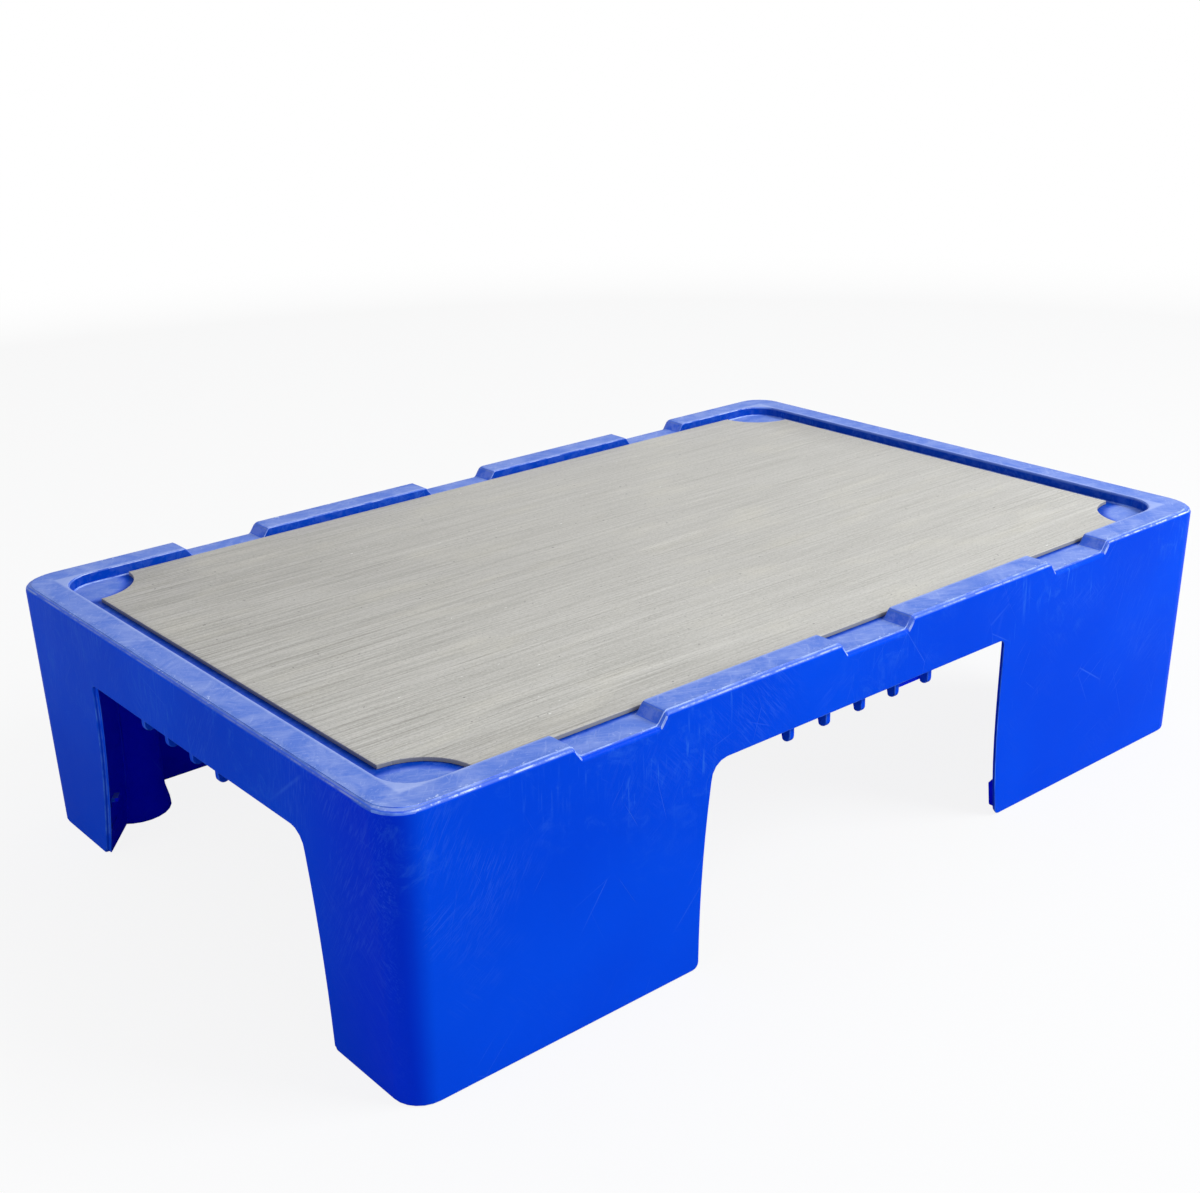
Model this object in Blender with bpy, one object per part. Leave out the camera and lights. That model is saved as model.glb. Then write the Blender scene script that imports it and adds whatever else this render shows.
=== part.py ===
"""Dog training platform: a one-piece moulded shell on four corner legs, with a lift-out mat.

Metres, +Z up. X runs along the long side, Y from front to rear. The origin lies on the
floor under the middle of the platform.
"""
import math

import bmesh
import bpy
from mathutils import Matrix, Vector

# Overall size
LENGTH = 0.700
WIDTH = 0.450
HEIGHT = 0.175

# Shell walls and deck
WALL = 0.0045
WALL_LEAN_DEG = 1.4
DECK_THICKNESS = 0.005
CORNER_RADIUS = 0.0215
BASE_CORNER_RADIUS = 0.0175
FIT_GAP = 0.0003

# Raised rim round the deck
RIM_WIDTH = 0.0215
RIM_HEIGHT = 0.0075
RIM_OUTER_ROUND = 0.003
PARTING_STEP = 0.0005
RIM_INNER_ROUND = 0.0015
RIM_DRAFT = 0.0005
RECESS_CORNER_RADIUS = 0.022

# Notches in the long sides of the rim
NOTCH_COUNT = 3
NOTCH_PITCH = 0.203
NOTCH_FLOOR = 0.052
NOTCH_RAMP = 0.0075

# Openings between the legs
OPENING_TOP = 0.1325
FULL_JAMB_REACH = 0.1447
FULL_JAMB_BOW = 0.0095
FULL_JAMB_POWER = 2.2
FULL_JAMB_FILLET = 0.012
FRONT_JAMB_REACH = 0.125
FRONT_JAMB_FLARE = 0.0072
FRONT_JAMB_POWER = 3.3
SIDE_JAMB_REACH = 0.1195
SIDE_JAMB_FLARE = 0.024
SIDE_JAMB_POWER = 1.8
SMALL_FILLET = 0.004
LONG_JAMB_SPLAY_DEG = 35.0
LEG_TOE_ROUND = 0.0045
TOE_BEAD_HEIGHT = 0.026
TOE_BEAD_WIDTH = 0.009
TOE_BEAD_DEPTH = 0.0068
TOE_BEAD_SETBACK = 0.0035
TOE_BEAD_CHAMFER = 0.0012

# Round column inside each leg
COLUMN_RADIUS = 0.0215
COLUMN_WALL = 0.005
COLUMN_INSET_X = 0.048
COLUMN_INSET_Y = 0.035
COLUMN_FLARE = 0.003
COLUMN_FLARE_HEIGHT = 0.018
LEG_WEB = 0.005
LEDGE_LENGTH = 0.009
LEDGE_DEPTH = 0.0045
LEDGE_THICKNESS = 0.003
LEDGE_LEVEL = 0.045
LEDGE_FROM_WALL = 0.001

# Rib grid under the deck, with a rounded lug below each rib's end
RIB_PITCH = 0.031
RIB_THICKNESS = 0.004
RIB_CLEAR_OF_OPENING = 0.0015
LONG_RIB_COUNT = 4
LONG_RIB_AHEAD = 0.037
CROSS_RIB_COUNT = 5
CROSS_RIB_LEFT = 0.0695
LUG_LENGTH = 0.0078
LUG_ROUND = 0.004
LUG_TURN_DEG = 120.0
LUG_DROP = 0.011
TIE_WEB_DROP = 0.0085
TIE_WEB_HEIGHT = 0.018
TIE_WEB_SETBACK = 0.0046
TIE_WEB_THICKNESS = 0.003

# Rubber feet and their screws
FOOT_PROUD = 0.0005
FOOT_HEIGHT = 0.009
FOOT_CHAMFER = 0.001
BOSS_RADIUS = 0.006
BOSS_WEB = 0.003
SCREW_RADIUS = 0.002
SCREW_LENGTH = 0.018
SCREW_HEAD_RADIUS = 0.0045
SCREW_HEAD_HEIGHT = 0.003
SCREW_HEAD_SUNK = 0.0015

# Lift-out mat, with its gaps to the rim
MAT_THICKNESS = 0.0025
MAT_CORNER_CUT = 0.036
MAT_GAP_LEFT = 0.0115
MAT_GAP_RIGHT = 0.0075
MAT_GAP_LONG_SIDES = 0.00375

# Hook and loop patches that hold the mat
PATCH_LENGTH = 0.050
PATCH_WIDTH = 0.025
PATCH_THICKNESS = 0.0008
PATCH_CORNER = 0.003
PATCH_FROM_LONG_RIM = 0.045
PATCH_FROM_SHORT_RIM = 0.1255

# Faceting
CORNER_STEPS = 6
RAMP_STEPS = 4
JAMB_STEPS = 7
FILLET_STEPS = 4
COLUMN_SIDES = 24
SCREW_SIDES = 16
CUT_CORNER_STEPS = 8
ROUND_STEPS = 3
LUG_STEPS = 6
PATCH_CORNER_STEPS = 2

# Places worked out from the sizes
EMBED = 0.001
STAGGER = 0.0004
SHELL_BASE = FOOT_PROUD
DECK_TOP = HEIGHT - RIM_HEIGHT
DECK_UNDERSIDE = DECK_TOP - DECK_THICKNESS
COLUMN_X = LENGTH / 2 - COLUMN_INSET_X
COLUMN_Y = WIDTH / 2 - COLUMN_INSET_Y
BORE_RADIUS = COLUMN_RADIUS - COLUMN_WALL
FOOT_SEAT = FOOT_HEIGHT + FIT_GAP
FOOT_SHOULDER = SCREW_HEAD_SUNK + SCREW_HEAD_HEIGHT + FIT_GAP
POCKET_DEPTH = 2 * PATCH_THICKNESS + 2 * FIT_GAP
MAT_BOTTOM = DECK_TOP + FIT_GAP
PATCH_X = LENGTH / 2 - RIM_WIDTH - PATCH_FROM_SHORT_RIM
PATCH_Y = WIDTH / 2 - RIM_WIDTH - PATCH_FROM_LONG_RIM
LEAN = math.tan(math.radians(WALL_LEAN_DEG))
LONG_JAMB_SPLAY = math.tan(math.radians(LONG_JAMB_SPLAY_DEG))
RIB_BOTTOM = OPENING_TOP + RIB_CLEAR_OF_OPENING
RIB_TOP = DECK_UNDERSIDE + EMBED
CHANNEL_WIDTH = RIM_WIDTH - DECK_THICKNESS
MAT_LENGTH = LENGTH - 2 * RIM_WIDTH - MAT_GAP_LEFT - MAT_GAP_RIGHT
MAT_WIDTH = WIDTH - 2 * RIM_WIDTH - 2 * MAT_GAP_LONG_SIDES
MAT_SHIFT_X = (MAT_GAP_LEFT - MAT_GAP_RIGHT) / 2

LEGS = {
    "front_left": (-1, -1),
    "front_right": (1, -1),
    "rear_left": (-1, 1),
    "rear_right": (1, 1),
}
PATCH_COLUMNS = ("left", "middle", "right")


def make_material(name, colour, roughness, metallic=0.0):
    """Return a Principled material of one colour."""
    material = bpy.data.materials.new(name)
    material.use_nodes = True
    shader = material.node_tree.nodes["Principled BSDF"]
    shader.inputs["Base Color"].default_value = (*colour, 1.0)
    shader.inputs["Roughness"].default_value = roughness
    shader.inputs["Metallic"].default_value = metallic
    material.diffuse_color = (*colour, 1.0)
    return material


def add_object(name, mesh, material=None, place=(0.0, 0.0, 0.0)):
    """Link a new object with the mesh, its material and its place."""
    item = bpy.data.objects.new(name, mesh)
    item.location = place
    if material is not None:
        mesh.materials.append(material)
    bpy.context.scene.collection.objects.link(item)
    return item


def mesh_from(bm, name):
    """Turn a bmesh into a mesh with its faces pointing out."""
    bmesh.ops.recalc_face_normals(bm, faces=bm.faces)
    mesh = bpy.data.meshes.new(name)
    bm.to_mesh(mesh)
    bm.free()
    return mesh


def loft(name, rings):
    """Join rings of equal counts with quads and close both ends."""
    bm = bmesh.new()
    rows = [[bm.verts.new(point) for point in ring] for ring in rings]
    count = len(rows[0])
    for lower, upper in zip(rows, rows[1:]):
        for i in range(count):
            j = (i + 1) % count
            bm.faces.new((lower[i], lower[j], upper[j], upper[i]))
    bm.faces.new(rows[0])
    bm.faces.new(rows[-1])
    return mesh_from(bm, name)


def prism(name, outline, low, high):
    """Extrude a plan outline of (x, y) points from low to high."""
    return loft(name, [[(x, y, z) for x, y in outline] for z in (low, high)])


def lathe(name, profile, sides, closed):
    """Turn (radius, z) points round Z; a closed profile is a ring, an open one ends on the axis."""
    bm = bmesh.new()
    rows = []
    for radius, z in profile:
        if radius == 0.0:
            rows.append([bm.verts.new((0.0, 0.0, z))])
            continue
        turns = [2 * math.pi * i / sides for i in range(sides)]
        rows.append([bm.verts.new((radius * math.cos(a), radius * math.sin(a), z)) for a in turns])
    pairs = list(zip(rows, rows[1:]))
    if closed:
        pairs.append((rows[-1], rows[0]))
    for lower, upper in pairs:
        for i in range(sides):
            j = (i + 1) % sides
            corners = [lower[i % len(lower)], lower[j % len(lower)]]
            corners += [upper[j % len(upper)], upper[i % len(upper)]]
            bm.faces.new(list(dict.fromkeys(corners)))
    return mesh_from(bm, name)


def box(name, low, high):
    """Return a box mesh between two corners."""
    outline = [(low[0], low[1]), (high[0], low[1]), (high[0], high[1]), (low[0], high[1])]
    return prism(name, outline, low[2], high[2])


def apply_boolean(target, mesh, operation):
    """Add the mesh to the target, or cut it away, with one exact Boolean."""
    tool = add_object("tool", mesh)
    modifier = target.modifiers.new("shape", "BOOLEAN")
    modifier.operation = operation
    modifier.solver = "EXACT"
    modifier.object = tool
    graph = bpy.context.evaluated_depsgraph_get()
    shaped = bpy.data.meshes.new_from_object(target.evaluated_get(graph))
    target.modifiers.clear()
    target.data = shaped
    bpy.data.objects.remove(tool)


def shade_smooth(item, angle_deg=35.0):
    """Shade an object smooth and keep its corners sharp."""
    item.data.shade_smooth()
    item.data.set_sharp_from_angle(angle=math.radians(angle_deg))


def turned(mesh, leg):
    """Mirror a mesh made for the front left leg to another leg."""
    side, end = -LEGS[leg][0], -LEGS[leg][1]
    mesh.transform(Matrix.Diagonal((side, end, 1.0, 1.0)))
    if side * end < 0:
        mesh.flip_normals()
    return mesh


def wall_offset(z):
    """Return how far the leaning outer wall lies inside the rim's edge at a height."""
    return (HEIGHT - z) * LEAN


def notch_centres():
    """Return the middles of the notches along one long side."""
    return [(i - (NOTCH_COUNT - 1) / 2) * NOTCH_PITCH for i in range(NOTCH_COUNT)]


def rim_top(x):
    """Return the rim's height along a long side, which dips to the deck in each notch."""
    gap = min(abs(x - centre) for centre in notch_centres()) - NOTCH_FLOOR / 2
    share = min(max(gap / NOTCH_RAMP, 0.0), 1.0)
    return DECK_TOP + RIM_HEIGHT * share * share * (3 - 2 * share)


def notch_stations():
    """Return the X places where the notches need points, from left to right."""
    places = []
    for centre in notch_centres():
        for step in range(RAMP_STEPS + 1):
            reach = NOTCH_FLOOR / 2 + NOTCH_RAMP * step / RAMP_STEPS
            places += [centre - reach, centre + reach]
    return sorted(places)


def perimeter_ring(inset, radius, height, leaning=False):
    """Return one ring round the platform.

    height takes the rim's top at a point and returns the ring's height there. A leaning
    ring also follows the wall's lean.
    """
    spots = []
    for corner, (side, end) in enumerate(((1, 1), (-1, 1), (-1, -1), (1, -1))):
        for step in range(CORNER_STEPS + 1):
            turn = math.pi / 2 * (corner + step / CORNER_STEPS)
            x = radius * (math.cos(turn) - side)
            y = radius * (math.sin(turn) - end)
            spots.append((side, end, x, y, height(HEIGHT)))
        if side == end:
            for x in sorted(notch_stations(), reverse=end > 0):
                spots.append((0, end, x, 0.0, height(rim_top(x))))
    points = []
    for side, end, x, y, z in spots:
        offset = inset + (wall_offset(z) if leaning else 0.0)
        points.append((side * (LENGTH / 2 - offset) + x, end * (WIDTH / 2 - offset) + y, z))
    return points


def shell_rings():
    """Return the shell's rings, from the deck over the rim, down the wall and back up inside."""
    inner = RIM_WIDTH + RIM_DRAFT
    rings = [perimeter_ring(inner, RECESS_CORNER_RADIUS, lambda top: DECK_TOP)]
    for step in range(ROUND_STEPS + 1):
        turn = math.pi / 2 * step / ROUND_STEPS
        inward = RIM_WIDTH - RIM_INNER_ROUND * (1 - math.cos(turn))
        drop = RIM_INNER_ROUND * (1 - math.sin(turn))
        rings.append(perimeter_ring(inward, RECESS_CORNER_RADIUS, lambda top: max(DECK_TOP, top - drop)))
    rings.append(perimeter_ring(RIM_OUTER_ROUND, CORNER_RADIUS, lambda top: top, True))
    for step in range(ROUND_STEPS + 1):
        turn = math.pi / 2 * (1 - step / ROUND_STEPS)
        inward = RIM_OUTER_ROUND * (1 - math.cos(turn))
        drop = PARTING_STEP + RIM_OUTER_ROUND * (1 - math.sin(turn))
        rings.append(perimeter_ring(inward, CORNER_RADIUS, lambda top: top - drop, True))
    rings.append(perimeter_ring(0.0, BASE_CORNER_RADIUS, lambda top: SHELL_BASE, True))
    rings.append(perimeter_ring(WALL, BASE_CORNER_RADIUS - WALL, lambda top: SHELL_BASE, True))
    rings.append(perimeter_ring(WALL, CORNER_RADIUS - WALL, lambda top: top - DECK_THICKNESS, True))
    rings.append(perimeter_ring(CHANNEL_WIDTH, RECESS_CORNER_RADIUS, lambda top: top - DECK_THICKNESS))
    deeper = CHANNEL_WIDTH + RIM_DRAFT
    rings.append(perimeter_ring(deeper, RECESS_CORNER_RADIUS, lambda top: DECK_UNDERSIDE))
    return rings


def full_jamb(z):
    """Return the reach of the bowed jamb, beside the wide legs, at a height."""
    share = min(max(z / OPENING_TOP, 0.0), 1.0)
    return FULL_JAMB_REACH - FULL_JAMB_BOW * share ** FULL_JAMB_POWER


def front_jamb(z):
    """Return the reach of the straight jamb of a long side's opening."""
    share = min(max(1 - z / OPENING_TOP, 0.0), 1.0)
    return FRONT_JAMB_REACH + FRONT_JAMB_FLARE * share ** FRONT_JAMB_POWER


def side_jamb(z):
    """Return the reach of the sloping jamb of a short side's opening."""
    share = min(max(1 - z / OPENING_TOP, 0.0), 1.0)
    return SIDE_JAMB_REACH + SIDE_JAMB_FLARE * share ** SIDE_JAMB_POWER


def jamb_outline(jamb, fillet):
    """Return one side of an opening as (reach, z) points from below the base to the top."""
    toe = SHELL_BASE + LEG_TOE_ROUND
    points = [(jamb(SHELL_BASE) + LEG_TOE_ROUND, -EMBED)]
    for step in range(FILLET_STEPS + 1):
        turn = math.pi / 2 * step / FILLET_STEPS
        reach = jamb(toe) + LEG_TOE_ROUND * (1 - math.sin(turn))
        points.append((reach, toe - LEG_TOE_ROUND * math.cos(turn)))
    shoulder = OPENING_TOP - fillet
    for step in range(1, JAMB_STEPS):
        z = toe + (shoulder - toe) * step / JAMB_STEPS
        points.append((jamb(z), z))
    for step in range(FILLET_STEPS + 1):
        turn = math.pi / 2 * step / FILLET_STEPS
        reach = jamb(shoulder) - fillet * (1 - math.cos(turn))
        points.append((reach, shoulder + fillet * math.sin(turn)))
    return points


def opening_cutter(name, left, right, edge, splay, along_x):
    """Return a cutter through one wall, which lies inside the rim's edge.

    left and right are the jamb outlines at the wall's outer face, and splay is how much
    each jamb opens out for each unit of depth behind that face.
    """
    rings = []
    for depth in (-EMBED, wall_offset(SHELL_BASE) + WALL + EMBED):
        outline = [(-reach - splay * (depth - wall_offset(z)), z) for reach, z in left]
        outline += [(reach + splay * (depth - wall_offset(z)), z) for reach, z in reversed(right)]
        if along_x:
            rings.append([(u, depth - edge, z) for u, z in outline])
        else:
            rings.append([(depth - edge, -u, z) for u, z in outline])
    return loft(name, rings)


def cut_openings(shell):
    """Cut the four openings; the rear and right ones are the others turned half round."""
    full = jamb_outline(full_jamb, FULL_JAMB_FILLET)
    front = jamb_outline(front_jamb, SMALL_FILLET)
    side = jamb_outline(side_jamb, SMALL_FILLET)
    half_turn = Matrix.Rotation(math.pi, 4, "Z")
    for turn in (Matrix.Identity(4), half_turn):
        long_side = opening_cutter("cut", full, front, WIDTH / 2, LONG_JAMB_SPLAY, True)
        short_side = opening_cutter("cut", side, full, LENGTH / 2, 0.0, False)
        for cutter in (long_side, short_side):
            cutter.transform(turn)
            apply_boolean(shell, cutter, "DIFFERENCE")


def leg_jambs(leg):
    """Return the jamb curves of a leg's long and short wall."""
    side, end = LEGS[leg]
    if side == end:
        return full_jamb, full_jamb
    return front_jamb, side_jamb


def inside_span(order):
    """Return the bottom and top of a leg's inner piece, staggered so that no two share a plane."""
    return SHELL_BASE + STAGGER * order, DECK_UNDERSIDE + EMBED + STAGGER * order


def column_mesh(name):
    """Return a leg's round column with its flared lower end, for the front left leg."""
    base, top = inside_span(1)
    profile = [(0.0, base)]
    for step in range(FILLET_STEPS + 1):
        share = step / FILLET_STEPS
        flare = COLUMN_FLARE * (1 - share * share * (3 - 2 * share))
        profile.append((COLUMN_RADIUS + flare, base + COLUMN_FLARE_HEIGHT * share))
    profile += [(COLUMN_RADIUS, top), (0.0, top)]
    mesh = lathe(name, profile, COLUMN_SIDES, closed=False)
    mesh.transform(Matrix.Translation((-COLUMN_X, -COLUMN_Y, 0.0)))
    return mesh


def leg_levels(order):
    """Return the heights at which a leg's web follows its jamb."""
    base, top = inside_span(order)
    levels = [base + (OPENING_TOP - base) * step / JAMB_STEPS for step in range(JAMB_STEPS + 1)]
    return levels + [top]


def rise_into_rim(ring, axis, limit):
    """Return two more rings, which carry a web up under the rim.

    ring is the web's top: its wall end and column end on one side, and then on the other.
    Along the axis, 0 for X and 1 for Y, the part of it between the wall and the limit rises.
    """
    wall_end, column_end, other_column_end, other_wall_end = ring
    stops = []
    for start, end in ((wall_end, column_end), (other_wall_end, other_column_end)):
        share = (limit - start[axis]) / (end[axis] - start[axis])
        stops.append(Vector(start).lerp(Vector(end), share))
    outline = (Vector(wall_end), stops[0], stops[1], Vector(other_wall_end))
    rise = Vector((0.0, 0.0, RIM_HEIGHT))
    return [tuple(outline), tuple(spot + rise for spot in outline)]


def web_lines(jamb, z):
    """Return a web's start, its end, its direction and its way out, for the front left leg."""
    start = Vector((-(LENGTH / 2 - wall_offset(z) - WALL), -jamb(z)))
    centre = Vector((-COLUMN_X, -COLUMN_Y))
    run = (centre - start).normalized()
    return start, centre - run * COLUMN_RADIUS, run, Vector((-run.y, run.x))


def web_mesh(name, jamb):
    """Return the slanting web from the short wall's end to the column, for the front left leg."""
    rings = []
    for z in leg_levels(2):
        start, end, run, out = web_lines(jamb, z)
        root = start.x - WALL / 2
        end += run * COLUMN_WALL / 2
        back = out * LEG_WEB
        near, far = (spot + run * (root - spot.x) / run.x for spot in (start, start - back))
        rings.append([(*spot, z) for spot in (near, end, end - back, far)])
    limit = -(LENGTH / 2 - CHANNEL_WIDTH - RIM_DRAFT - EMBED)
    return loft(name, rings + rise_into_rim(rings[-1], 0, limit))


def gusset_mesh(name):
    """Return the gusset from the column to the long wall, for the front left leg."""
    edge = -COLUMN_X + COLUMN_RADIUS
    spread = (COLUMN_RADIUS + WALL) / 3
    rings = []
    for z in inside_span(3):
        wall = -(WIDTH / 2 - wall_offset(z) - WALL / 2)
        outline = [
            (edge + spread, wall),
            (edge, -COLUMN_Y - EMBED),
            (edge - COLUMN_WALL / 2, -COLUMN_Y - EMBED),
            (edge + spread - 2 * LEG_WEB, wall),
        ]
        rings.append([(x, y, z) for x, y in outline])
    limit = -(WIDTH / 2 - CHANNEL_WIDTH - RIM_DRAFT - EMBED)
    return loft(name, rings + rise_into_rim(rings[-1], 1, limit))


def bead_mesh(name, jamb):
    """Return the bead inside the toe of the long wall, for the front left leg."""
    base = inside_span(4)[0]
    full = TOE_BEAD_DEPTH
    rings = []
    for rise, depth in ((0.0, full), (TOE_BEAD_HEIGHT * 2 / 3, full), (TOE_BEAD_HEIGHT, -EMBED / 2)):
        z = base + rise
        root = -(WIDTH / 2 - wall_offset(z) - WALL)
        near = -jamb(z) - LONG_JAMB_SPLAY * WALL - TOE_BEAD_SETBACK
        far = near - TOE_BEAD_WIDTH
        chamfer = TOE_BEAD_CHAMFER * (depth + EMBED) / (full + EMBED)
        points = [(near, root - EMBED), (near, root + depth - chamfer), (near - chamfer, root + depth)]
        points += [(far, root + depth), (far - TOE_BEAD_DEPTH / 2, root - EMBED)]
        rings.append([(x, y, z) for x, y in points])
    return loft(name, rings)


def ledge_mesh(name, jamb):
    """Return the small ledge on the web's open side, for the front left leg."""
    start, _, run, out = web_lines(jamb, LEDGE_LEVEL)
    near = start + run * LEDGE_FROM_WALL
    far = near + run * LEDGE_LENGTH
    inner, outer = -out * LEG_WEB / 2, out * LEDGE_DEPTH
    outline = [near + inner, far + inner, far + outer, near + outer]
    return prism(name, outline, LEDGE_LEVEL - LEDGE_THICKNESS, LEDGE_LEVEL)


def boss_meshes(name):
    """Return the screw boss and its two webs inside a column, for the front left leg."""
    top = DECK_UNDERSIDE
    profile = [(0.0, FOOT_SEAT), (BOSS_RADIUS, FOOT_SEAT), (BOSS_RADIUS, top), (0.0, top)]
    reach = BORE_RADIUS + COLUMN_WALL / 2
    half = BOSS_WEB / 2
    low, high = FOOT_SEAT + STAGGER, top + STAGGER
    lengthwise = box(name, (-reach, -half, low), (reach, half, high))
    crosswise = box(name, (-half, -reach, low + STAGGER), (half, reach, high + STAGGER))
    meshes = [lathe(name, profile, SCREW_SIDES, closed=False), lengthwise, crosswise]
    for mesh in meshes:
        mesh.transform(Matrix.Translation((-COLUMN_X, -COLUMN_Y, 0.0)))
    return meshes


def round_cutter(name, radius, low, high, sides):
    """Return a round cutter on the column's axis, for the front left leg."""
    profile = [(0.0, low), (radius, low), (radius, high), (0.0, high)]
    mesh = lathe(name, profile, sides, closed=False)
    mesh.transform(Matrix.Translation((-COLUMN_X, -COLUMN_Y, 0.0)))
    return mesh


def build_leg_inside(shell, leg):
    """Add a leg's column, webs, ledge, bead and screw boss, and cut its bore and screw hole."""
    long_jamb, short_jamb = leg_jambs(leg)
    outer_pieces = [column_mesh(leg), web_mesh(leg, short_jamb), gusset_mesh(leg)]
    outer_pieces += [bead_mesh(leg, long_jamb), ledge_mesh(leg, short_jamb)]
    for mesh in outer_pieces:
        apply_boolean(shell, turned(mesh, leg), "UNION")
    bore = round_cutter(leg, BORE_RADIUS, -EMBED, DECK_UNDERSIDE - EMBED, COLUMN_SIDES)
    apply_boolean(shell, turned(bore, leg), "DIFFERENCE")
    for mesh in boss_meshes(leg):
        apply_boolean(shell, turned(mesh, leg), "UNION")
    depth = FOOT_SHOULDER + SCREW_LENGTH + EMBED
    hole = round_cutter(leg, SCREW_RADIUS + FIT_GAP, -EMBED, depth, SCREW_SIDES)
    apply_boolean(shell, turned(hole, leg), "DIFFERENCE")


def rib_mesh(name, middle, half_size, along_x):
    """Return a rib from beam to beam, with a rounded lug below each end.

    Its ends rise as high as the rim above them allows, to fill the rim's channel.
    """
    reach = half_size - wall_offset(OPENING_TOP) - WALL + EMBED
    rim_place = half_size - CHANNEL_WIDTH - RIM_DRAFT - EMBED
    high = RIB_TOP + RIM_HEIGHT
    if not along_x:
        edges = (middle - RIB_THICKNESS / 2, middle + RIB_THICKNESS / 2)
        high = RIB_TOP + min(rim_top(x) for x in edges) - DECK_TOP
    half = [(rim_place - EMBED, RIB_TOP), (rim_place, high), (reach, high)]
    for step in range(LUG_STEPS + 1):
        turn = math.radians(LUG_TURN_DEG) * step / LUG_STEPS
        run = reach - LUG_ROUND * (1 - math.cos(turn))
        half.append((run, OPENING_TOP - LUG_DROP + LUG_ROUND * (1 - math.sin(turn))))
    half.append((reach - EMBED - LUG_LENGTH, RIB_BOTTOM))
    outline = half + [(-run, z) for run, z in reversed(half)]
    rings = []
    for place in (middle - RIB_THICKNESS / 2, middle + RIB_THICKNESS / 2):
        rings.append([(run, place, z) if along_x else (place, run, z) for run, z in outline])
    return loft(name, rings)


def build_ribs(shell):
    """Add the rib grid and the short tie web behind the front beam."""
    for i in range(LONG_RIB_COUNT):
        rib = rib_mesh("rib", i * RIB_PITCH - LONG_RIB_AHEAD, LENGTH / 2, True)
        apply_boolean(shell, rib, "UNION")
    for i in range(CROSS_RIB_COUNT):
        rib = rib_mesh("rib", i * RIB_PITCH - CROSS_RIB_LEFT, WIDTH / 2, False)
        apply_boolean(shell, rib, "UNION")
    last = (CROSS_RIB_COUNT - 1) * RIB_PITCH - CROSS_RIB_LEFT
    face = wall_offset(OPENING_TOP) + WALL + TIE_WEB_SETBACK - WIDTH / 2
    bottom = OPENING_TOP - TIE_WEB_DROP
    low = (last - RIB_PITCH, face, bottom)
    high = (last, face + TIE_WEB_THICKNESS, bottom + TIE_WEB_HEIGHT)
    apply_boolean(shell, box("tie", low, high), "UNION")


def patch_places():
    """Return the name and place of each pair of patches."""
    places = {}
    for end_name, end in (("front", -1), ("rear", 1)):
        for column, x in zip(PATCH_COLUMNS, (-PATCH_X, 0.0, PATCH_X)):
            places[f"{end_name}_{column}"] = (x, end * PATCH_Y)
    return places


def patch_outline(clearance):
    """Return a patch's rounded outline, grown by a clearance."""
    half_x = PATCH_LENGTH / 2 + clearance
    half_y = PATCH_WIDTH / 2 + clearance
    radius = PATCH_CORNER + clearance
    outline = []
    for corner, (side, end) in enumerate(((1, 1), (-1, 1), (-1, -1), (1, -1))):
        for step in range(PATCH_CORNER_STEPS + 1):
            turn = math.pi / 2 * (corner + step / PATCH_CORNER_STEPS)
            x = side * (half_x - radius) + radius * math.cos(turn)
            y = end * (half_y - radius) + radius * math.sin(turn)
            outline.append((x, y))
    return outline


def build_shell(material):
    """Build the one-piece moulded shell."""
    shell = add_object("platform_shell", loft("platform_shell", shell_rings()))
    cut_openings(shell)
    for leg in LEGS:
        build_leg_inside(shell, leg)
    build_ribs(shell)
    for x, y in patch_places().values():
        pocket = prism("pocket", patch_outline(FIT_GAP), DECK_TOP - POCKET_DEPTH, HEIGHT)
        pocket.transform(Matrix.Translation((x, y, 0.0)))
        apply_boolean(shell, pocket, "DIFFERENCE")
    shell.data.materials.clear()
    shell.data.materials.append(material)
    shade_smooth(shell)
    return shell


def build_mat(material):
    """Build the mat with its quarter-round corner cuts."""
    half_x = MAT_LENGTH / 2
    half_y = MAT_WIDTH / 2
    outline = []
    for corner, (side, end) in enumerate(((1, 1), (-1, 1), (-1, -1), (1, -1))):
        for step in range(CUT_CORNER_STEPS + 1):
            turn = math.pi / 2 * (corner + 3 - step / CUT_CORNER_STEPS)
            x = side * half_x + MAT_CORNER_CUT * math.cos(turn)
            y = end * half_y + MAT_CORNER_CUT * math.sin(turn)
            outline.append((x, y))
    mesh = prism("surface_mat", outline, 0.0, MAT_THICKNESS)
    return add_object("surface_mat", mesh, material, (MAT_SHIFT_X, 0.0, MAT_BOTTOM))


def build_patches(hook_material, loop_material, mat):
    """Build the hook patches in the deck's pockets and the loop patches under the mat."""
    hook_mesh = prism("hook_patch", patch_outline(0.0), 0.0, PATCH_THICKNESS)
    loop_mesh = prism("loop_patch", patch_outline(0.0), 0.0, PATCH_THICKNESS)
    hook_mesh.materials.append(hook_material)
    loop_mesh.materials.append(loop_material)
    hook_z = DECK_TOP - POCKET_DEPTH + FIT_GAP
    loop_z = hook_z + PATCH_THICKNESS + FIT_GAP
    for name, (x, y) in patch_places().items():
        add_object(f"hook_patch_{name}", hook_mesh, place=(x, y, hook_z))
        loop = add_object(f"loop_patch_{name}", loop_mesh)
        loop.parent = mat
        loop.location = (x - MAT_SHIFT_X, y, loop_z - MAT_BOTTOM)


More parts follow.
